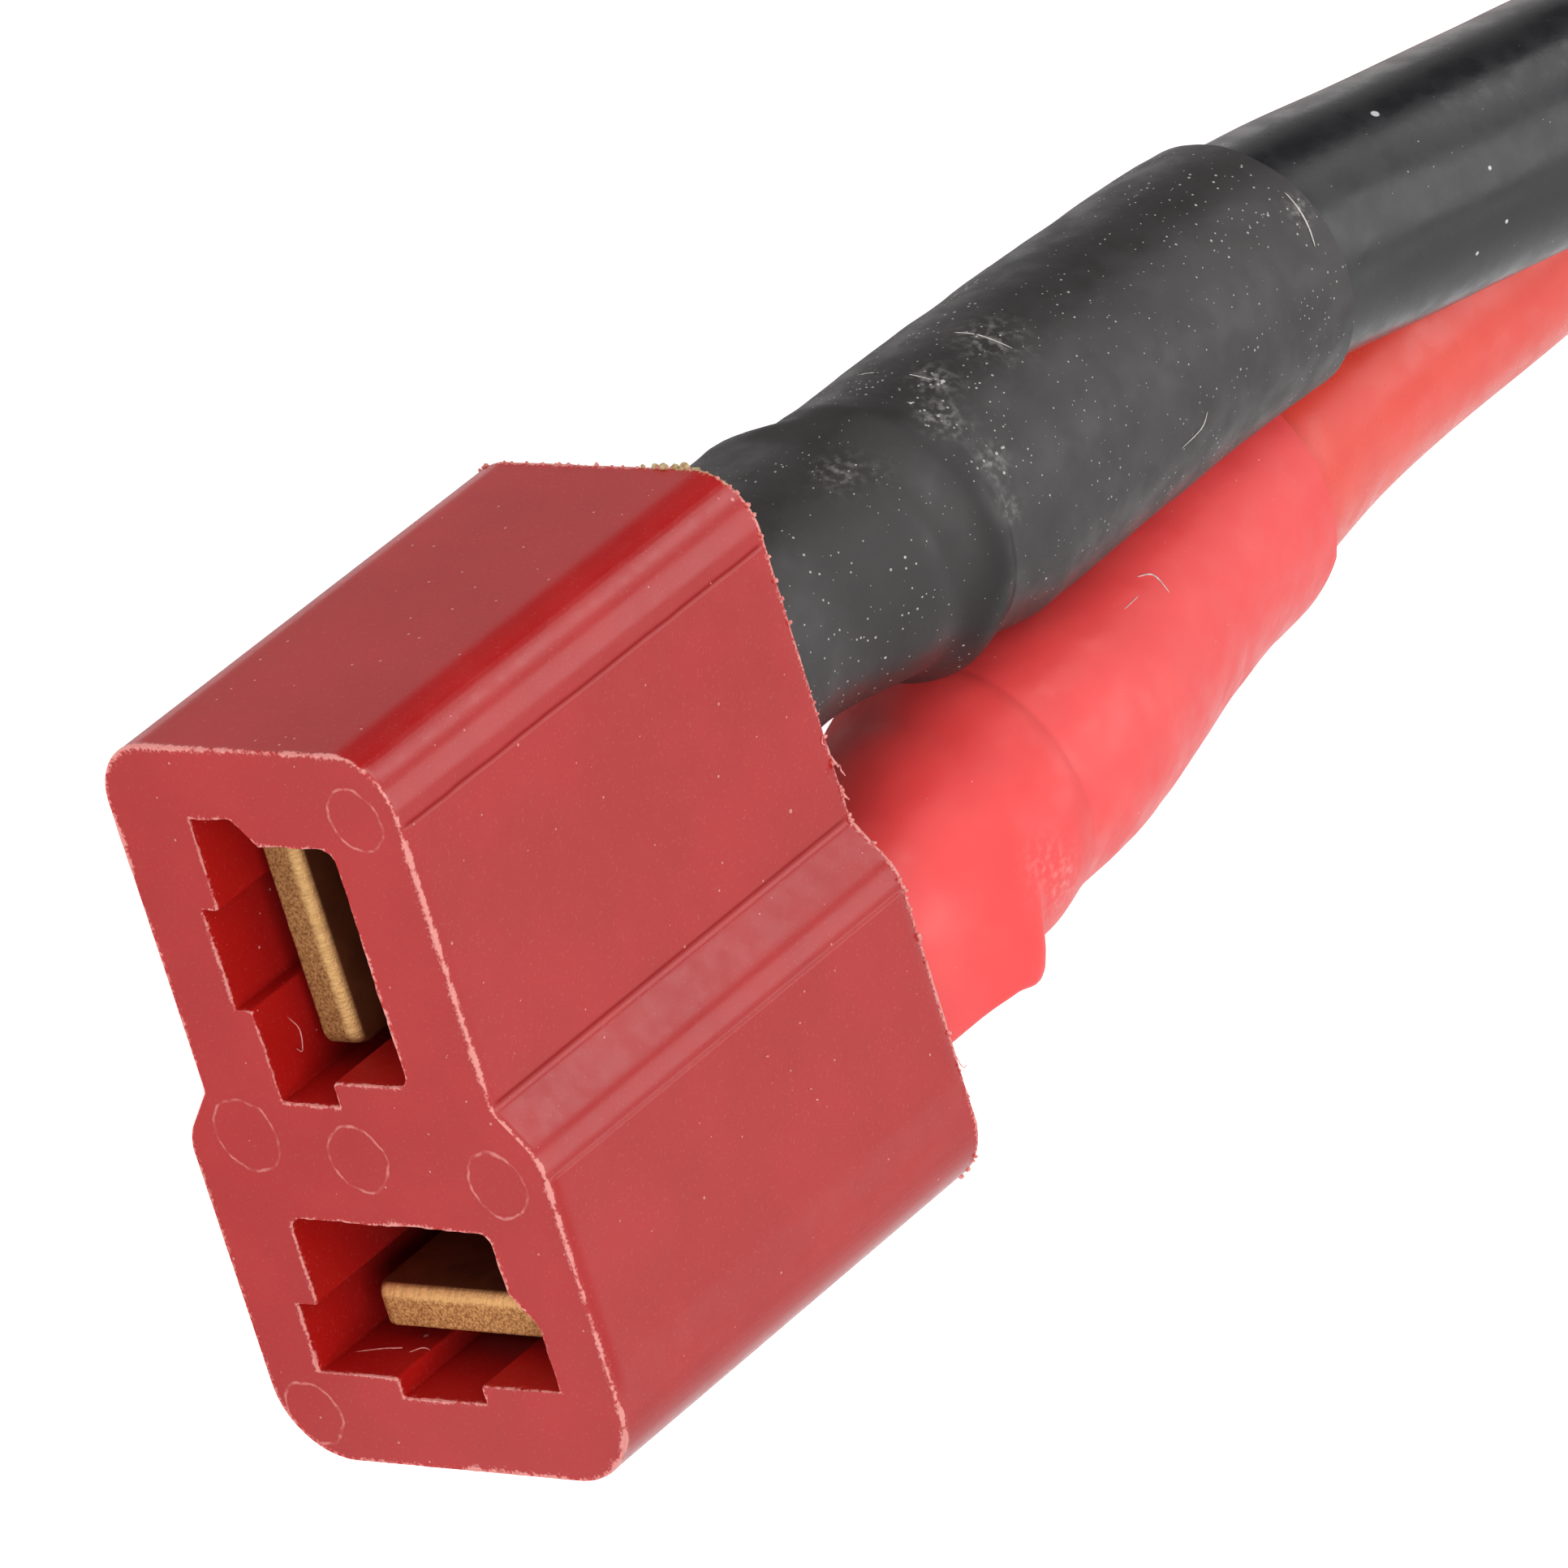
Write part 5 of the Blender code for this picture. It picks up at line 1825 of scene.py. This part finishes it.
def back_edge_grains(housing: Housing) -> tuple[np.ndarray, np.ndarray]:
    """Random places and radii of flash crumbs along the back edge of the housing.

    Args:
        housing: The housing whose edge they lie on.

    Returns:
        The crumbs' places, and their radii.
    """
    chance = np.random.default_rng(5)
    rim = housing.outline()
    picked = rim[chance.choice(len(rim), 150, replace=False)]
    picked = picked[picked[:, 1] > 0.2 * MM]
    depth = REAR_Y + chance.uniform(-0.05, 0.02, len(picked)) * MM
    places = np.stack([picked[:, 0], depth, picked[:, 1]], axis=-1)
    return places, chance.uniform(0.018, 0.055, len(picked)) * MM


def litter(housing: bpy.types.Object, sleeves: Sequence[bpy.types.Object]) -> None:
    """Lays the fibres on the sleeves and the shavings and residue on the housing.

    Args:
        housing: The housing's object.
        sleeves: The sleeves' objects.
    """
    dust = mottled("dust_fibres", (0.66, 0.62, 0.59), (0.50, 0.46, 0.43), 0.6)
    fibres = Lint("dust_fibres", dust, sleeves)
    fibres.build([fibres.strand(strand) for strand in FIBRES])
    flash = mottled("nylon_shavings", (0.78, 0.32, 0.28), (0.62, 0.18, 0.16), 0.5)
    shavings = Lint("nylon_shavings", flash, [housing])
    places, radii = back_edge_grains(Housing())
    sheets = [shavings.strand(strand) for strand in SHAVINGS]
    shavings.build(sheets + shavings.grains(places, radii, 91))
    flux = mottled("flux_residue", (0.60, 0.45, 0.24), (0.38, 0.24, 0.10), 0.35)
    residue = Lint("flux_residue", flux, [housing])
    spots = np.array(RESIDUE)
    residue.build(residue.grains(spots[:, :3] * MM, spots[:, 3] * MM, 92))


@dataclass(frozen=True)
class Studio:
    """The camera of the photograph's view, soft lamps, black cards and a white floor.

    Attributes:
        place: The camera's place.
        right: Direction of the picture's right.
        down: Direction of the picture's down.
        ahead: Direction that the camera looks in.
        focal: Focal length in pixels of the whole frame.
        pixels: Width of the whole frame.
        sky: Strength of the sky as light on the part.
        floor_glow: What the floor gives to camera rays besides the light that it scatters.
    """

    place: tuple[float, float, float] = (-0.120129, -0.2081975, 0.2056135)
    right: tuple[float, float, float] = (0.276312, 0.582225, 0.764634)
    down: tuple[float, float, float] = (0.880404, -0.472401, 0.041559)
    ahead: tuple[float, float, float] = (0.385410, 0.661703, -0.643123)
    focal: float = 19277.1
    pixels: float = 1932.0
    sky: float = 0.50
    floor_glow: float = 0.88

    def camera(self) -> None:
        """Sets up the camera."""
        data = bpy.data.cameras.new("camera")
        data.sensor_width = 36.0
        data.lens = self.focal / self.pixels * data.sensor_width
        data.clip_start = 0.01
        data.clip_end = 20.0
        camera = bpy.data.objects.new("camera", data)
        bpy.context.scene.collection.objects.link(camera)
        columns = (Vector(self.right), -Vector(self.down), -Vector(self.ahead))
        turn = Matrix([[column[k] for column in columns] for k in range(3)])
        camera.matrix_world = Matrix.Translation(self.place) @ turn.to_4x4()
        bpy.context.scene.camera = camera

    def lamp(
        self,
        name: str,
        toward: Sequence[float],
        apart: float,
        sides: tuple[float, float],
        radiance: float,
    ) -> None:
        """Adds a white rectangular lamp that faces the housing.

        A lamp of radiance L and area A is given the power pi L A.

        Args:
            name: The lamp's name.
            toward: Direction from the housing to the lamp.
            apart: How far away it stands.
            sides: Its width and height.
            radiance: How bright its surface is, where 1 is the white of the background.
        """
        data = bpy.data.lights.new(name, "AREA")
        data.shape = "RECTANGLE"
        data.size, data.size_y = sides
        data.energy = math.pi * radiance * sides[0] * sides[1]
        lamp = bpy.data.objects.new(name, data)
        bpy.context.scene.collection.objects.link(lamp)
        away = Vector(toward).normalized()
        lamp.location = Vector((0.0, 0.0, 0.008)) + away * apart
        lamp.rotation_euler = away.to_track_quat("Z", "Y").to_euler()

    def world(self) -> None:
        """An even sky: white to camera, mirror and glass rays, dimmer as light on the part."""
        world = bpy.data.worlds.new("studio")
        bpy.context.scene.world = world
        world.use_nodes = True
        tree = world.node_tree
        back = tree.nodes["Background"]
        path = tree.nodes.new("ShaderNodeLightPath")
        seen: bpy.types.NodeSocket = path.outputs["Is Camera Ray"]
        for ray in ("Is Glossy Ray", "Is Transmission Ray"):
            either = tree.nodes.new("ShaderNodeMath")
            either.operation = "MAXIMUM"
            tree.links.new(seen, either.inputs[0])
            tree.links.new(path.outputs[ray], either.inputs[1])
            seen = either.outputs[0]
        level = tree.nodes.new("ShaderNodeMapRange")
        tree.links.new(seen, level.inputs["Value"])
        level.inputs["To Min"].default_value = self.sky
        level.inputs["To Max"].default_value = 1.0
        tree.links.new(level.outputs[0], back.inputs["Strength"])
        back.inputs["Color"].default_value = (1.0, 1.0, 1.0, 1.0)

    def dark_card(self) -> None:
        """Black cards at the back left and the front right, for mirror rays alone.

        The first, in a lying and a standing part, gives the rounded edges a dark line between two
        pale ones, as a card beside a light tent does. Close to the housing it is grey, so that
        the narrow face keeps a faint sheen. The second darkens what faces the camera's side.
        """
        near = -0.0086
        far = -0.40
        top = 0.17
        side = 0.60
        low = 0.0003
        points = [(near, -0.02, low), (near, 0.30, low), (far, 0.60, low), (far, 0.20, low)]
        points += [(far, 0.20, low), (far, 0.60, low), (far, 0.60, top), (far, 0.20, top)]
        points += [(side, -0.75, 0.04), (side, 0.12, 0.04), (side, 0.12, 0.7), (side, -0.75, 0.7)]
        mesh = bpy.data.meshes.new("dark_card")
        mesh.from_pydata(points, [], [(0, 1, 2, 3), (4, 5, 6, 7), (8, 9, 10, 11)])
        card = bpy.data.objects.new("dark_card", mesh)
        bpy.context.scene.collection.objects.link(card)
        finish = Finish("dark_card")
        axes = finish.add("ShaderNodeSeparateXYZ")
        finish.feed(axes.inputs[0], finish.place)
        near_part = finish.math("LESS_THAN", axes.outputs["X"], 0.0)
        glow = finish.span(axes.outputs["X"], -0.0180, -0.0125, 0.0, 0.32)
        glow = finish.math("MULTIPLY", glow, near_part)
        finish.set(Base_Color=(0.02, 0.02, 0.02, 1.0), Roughness=1.0)
        finish.set(Emission_Color=(1.0, 1.0, 1.0, 1.0), Emission_Strength=glow)
        dressed(card, finish.material)
        for ray in ("camera", "diffuse", "transmission", "shadow"):
            setattr(card, f"visible_{ray}", False)

    def floor(self) -> None:
        """A white floor that shows white to the camera and keeps the object's soft shadow."""
        reach = 1.5
        corners = [(-reach, -reach, 0), (reach, -reach, 0), (reach, reach, 0), (-reach, reach, 0)]
        mesh = bpy.data.meshes.new("floor")
        mesh.from_pydata(corners, [], [(0, 1, 2, 3)])
        floor = bpy.data.objects.new("floor", mesh)
        bpy.context.scene.collection.objects.link(floor)
        material = bpy.data.materials.new("floor")
        material.use_nodes = True
        shader = material.node_tree.nodes["Principled BSDF"]
        shader.inputs["Base Color"].default_value = (0.93, 0.93, 0.93, 1.0)
        shader.inputs["Roughness"].default_value = 0.9
        path = material.node_tree.nodes.new("ShaderNodeLightPath")
        glow = material.node_tree.nodes.new("ShaderNodeMath")
        glow.operation = "MULTIPLY"
        glow.inputs[1].default_value = self.floor_glow
        material.node_tree.links.new(path.outputs["Is Camera Ray"], glow.inputs[0])
        shader.inputs["Emission Color"].default_value = (1.0, 1.0, 1.0, 1.0)
        material.node_tree.links.new(glow.outputs[0], shader.inputs["Emission Strength"])
        dressed(floor, material)

    def build(self) -> None:
        """Sets up the whole studio."""
        bpy.context.scene.view_settings.view_transform = "Standard"
        self.camera()
        self.world()
        self.floor()
        self.dark_card()
        self.lamp("key", (0.0, -0.65, 0.76), 0.7, (0.4, 0.4), 5.7)
        self.lamp("side", (-0.6, -0.3, 0.74), 0.6, (0.3, 0.3), 2.4)
        self.lamp("panel", (-0.014, 0.662, 0.749), 0.5, (0.28, 0.30), 1.55)
        self.lamp("far_panel", (0.510, 0.662, 0.549), 0.5, (0.06, 0.30), 0.5)
        self.lamp("strip", (-0.607, 0.662, 0.440), 0.5, (0.035, 0.30), 5.2)


BLACK_SLEEVING = PolymerFinish(
    name="black_sleeving",
    base=(0.0235, 0.0203, 0.0200),
    cloud=(0.0300, 0.0262, 0.0258),
    dust=(0.52, 0.50, 0.48),
    roughness=0.46,
    speck=0.18 * MM,
    speck_share=0.24,
    glow=0.0,
    relief=0.006 * MM,
    scuff=0.40,
)
RED_SLEEVING = PolymerFinish(
    name="red_sleeving",
    base=(0.86, 0.062, 0.062),
    cloud=(0.90, 0.078, 0.074),
    dust=(0.95, 0.46, 0.42),
    roughness=0.38,
    speck=0.50 * MM,
    speck_share=0.060,
    glow=0.15,
    relief=0.005 * MM,
    scuff=0.60,
)
BLACK_SILICONE = PolymerFinish(
    name="black_silicone",
    base=(0.0100, 0.0102, 0.0118),
    cloud=(0.0130, 0.0132, 0.0150),
    dust=(0.55, 0.55, 0.56),
    roughness=0.27,
    speck=0.36 * MM,
    speck_share=0.09,
    glow=0.0,
    relief=0.003 * MM,
    grains=(
        (-4.75, 18.59, 7.15, 0.10),
        (-1.30, 19.10, 8.32, 0.05),
        (-1.60, 19.99, 8.56, 0.05),
        (-2.85, 19.95, 8.56, 0.05),
    ),
)
RED_SILICONE = PolymerFinish(
    name="red_silicone",
    base=(0.80, 0.058, 0.036),
    cloud=(0.84, 0.078, 0.050),
    dust=(0.95, 0.55, 0.50),
    roughness=0.30,
    speck=0.60 * MM,
    speck_share=0.055,
    glow=0.15,
    relief=0.003 * MM,
)
BRASS = MetalFinish(
    name="brass",
    base=(0.24, 0.085, 0.032),
    dull=(0.17, 0.055, 0.022),
    roughness=0.50,
    scratch=(1.0, 0.12, 1.0),
    grain=0.10 * MM,
    relief=0.010 * MM,
    cut_end=FACE_Y + BAR_SETBACK,
    pitting=0.04,
    metallic=0.75,
)
TINNED = MetalFinish(
    name="tinned_copper",
    base=(0.72, 0.69, 0.64),
    dull=(0.50, 0.42, 0.35),
    roughness=0.30,
    scratch=(1.0, 0.3, 1.0),
    grain=0.20 * MM,
    relief=0.006 * MM,
)
SOLDER = MetalFinish(
    name="solder",
    base=(0.66, 0.66, 0.68),
    dull=(0.50, 0.50, 0.52),
    roughness=0.22,
    scratch=(1.0, 1.0, 1.0),
    grain=0.30 * MM,
    relief=0.005 * MM,
)
STEEL = MetalFinish(
    name="spring_steel",
    base=(0.58, 0.58, 0.60),
    dull=(0.42, 0.42, 0.44),
    roughness=0.28,
    scratch=(1.0, 0.15, 1.0),
    grain=0.15 * MM,
    relief=0.003 * MM,
)


FORMS = {
    Side.NEGATIVE: SleeveForm(
        wear_and_crease_shade=(
            (-5.43, 0.81, 6.47, 0.45),
            (-5.10, 1.33, 6.90, 0.35),
            (-5.74, 2.97, 7.58, 0.50),
            (-4.69, 3.13, 8.45, 0.35),
            (-3.80, 2.93, 8.72, 0.30),
            (-6.10, 5.70, 6.90, 0.60),
            (-6.15, 3.80, 6.90, 0.45),
            (-4.64, 14.44, 8.07, 0.30),
        )
    ),
    Side.POSITIVE: SleeveForm(
        flat_end=3.2 * MM,
        wide_start=4.5 * MM,
        wide_length=3.25 * MM,
        neck=-0.08 * MM,
        neck_place=0.4 * MM,
        neck_reach=1.1 * MM,
        corner=15.0,
        dent=0.0,
        crease=0.10 * MM,
        fall=1.5 * MM,
        rise=2.0 * MM,
        crease_turn=0.9,
        # Faint painted shade in the red sleeve's crease.
        dark=0.16,
        pinch=0.40 * MM,
        flare=0.24 * MM,
        trim=0.45 * MM,
        cut_slope=0.75,
        wear_and_crease_shade=(
            (3.89, 2.09, 7.59, 0.50),
            (3.38, 2.01, 7.50, 0.40),
            (4.45, 2.10, 7.60, 0.50),
            (3.60, 1.60, 7.60, 0.45),
        ),
    ),
}


FIBRES = (
    Strand(((0.74, 8.40, 6.37), (0.89, 8.78, 6.47), (1.28, 8.76, 6.78)), 0.017 * MM),
    Strand(((0.92, 7.35, 6.74), (0.94, 7.99, 6.65)), 0.010 * MM),
    Strand(((-2.60, 9.46, 8.60), (-2.34, 9.19, 8.54), (-2.25, 8.45, 8.52)), 0.011 * MM),
    Strand(
        ((-6.31, 5.52, 6.20), (-6.22, 5.66, 6.59), (-6.05, 5.72, 7.01), (-5.84, 5.79, 7.37)),
        0.012 * MM,
    ),
    Strand(((-6.36, 3.51, 5.19), (-6.25, 3.65, 6.05), (-6.15, 3.80, 6.90)), 0.010 * MM),
    Strand(
        ((-5.00, 14.50, 7.77), (-4.64, 14.44, 8.07), (-4.29, 14.34, 8.27), (-3.91, 14.19, 8.43)),
        0.018 * MM,
    ),
    Strand(((1.69, 0.30, 6.32), (1.76, 0.34, 6.38)), 0.022 * MM),
    Strand(((1.84, 1.14, 6.54), (1.93, 1.12, 6.60)), 0.020 * MM),
    Strand(((1.68, 2.75, 7.03), (1.72, 2.90, 7.06), (1.66, 2.98, 7.02)), 0.018 * MM),
)
SHAVINGS = (
    Strand(
        ((-1.70, -3.66, 8.30), (-1.60, -3.64, 8.36), (-1.45, -3.62, 8.40), (-1.25, -3.62, 8.35)),
        0.022 * MM,
        0.22 * MM,
    ),
    Strand(((-1.95, -3.70, 8.28), (-2.05, -3.80, 8.28), (-2.18, -3.72, 8.28)), 0.016 * MM),
    Strand(
        ((-0.90, -3.66, 8.29), (-0.78, -3.64, 8.34), (-0.70, -3.64, 8.30)),
        0.026 * MM,
        0.10 * MM,
    ),
    Strand(
        ((5.00, -3.66, 9.12), (5.15, -3.64, 9.15), (5.32, -3.64, 9.13), (5.25, -3.66, 9.10)),
        0.014 * MM,
        0.20 * MM,
    ),
    Strand(
        ((5.99, -14.75, 1.70), (5.99, -14.55, 2.30), (5.99, -14.50, 2.75), (5.99, -14.62, 2.55)),
        0.014 * MM,
        0.06 * MM,
    ),
    Strand(
        ((5.99, -14.60, 3.00), (5.99, -14.42, 3.20), (5.99, -14.48, 3.45)),
        0.014 * MM,
        0.04 * MM,
    ),
    Strand(
        (
            (-1.60, -14.70, 2.80),
            (-1.20, -14.50, 2.80),
            (-0.80, -14.62, 2.80),
            (-0.95, -14.80, 2.80),
        ),
        0.014 * MM,
        0.06 * MM,
    ),
    Strand(((2.15, -8.85, 9.10), (2.20, -8.75, 9.10)), 0.020 * MM),
    Strand(((3.37, -7.95, 9.10), (3.42, -7.88, 9.10)), 0.018 * MM),
    Strand(((3.66, -7.88, 9.10), (3.70, -7.80, 9.10)), 0.018 * MM),
)
# Places and radii of the residue, in millimetres
RESIDUE = (
    (-8.02, -3.66, 5.74, 0.05),
    (-8.02, -3.66, 6.05, 0.07),
    (-8.02, -3.64, 6.30, 0.09),
    (-8.00, -3.64, 6.52, 0.08),
    (-7.98, -3.64, 6.75, 0.11),
    (-7.93, -3.64, 7.00, 0.10),
    (-7.84, -3.65, 7.22, 0.07),
    (-7.74, -3.66, 7.42, 0.05),
)


def main() -> None:
    """Builds the studio, each pole's lead, sleeve and contact, the housing and the litter."""
    logging.basicConfig(level=logging.INFO, format="%(name)s: %(message)s")
    Studio().build()
    LOG.info("studio set up")
    tinned = TINNED.make()
    brass = BRASS.make()
    sleeving = {Side.NEGATIVE: BLACK_SLEEVING.make(), Side.POSITIVE: RED_SLEEVING.make()}
    silicone = {Side.NEGATIVE: BLACK_SILICONE.make(), Side.POSITIVE: RED_SILICONE.make()}
    sleeves = []
    for pole in POLES:
        lead = Lead(pole, silicone[pole.side], tinned)
        LOG.info("made %s", lead.build().name)
        sleeve = Sleeve(pole, lead.line(), sleeving[pole.side], form=FORMS[pole.side])
        sleeves.append(sleeve.build())
        LOG.info("made %s", sleeves[-1].name)
        LOG.info("made %s", Contact(pole, brass).build().name)
    housing = Housing().build(NylonFinish().make())
    LOG.info("made %s with %d faces", housing.name, len(housing.data.polygons))
    litter(housing, sleeves)
    solder = SOLDER.make()
    steel = STEEL.make()
    for pole in POLES:
        name = pole.side.value
        dressed(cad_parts[f"{name}_conductor"], tinned)
        dressed(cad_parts[f"{name}_solder"], solder)
        dressed(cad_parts[f"{name}_contact_spring"], steel)


if __name__ == "__main__":
    main()
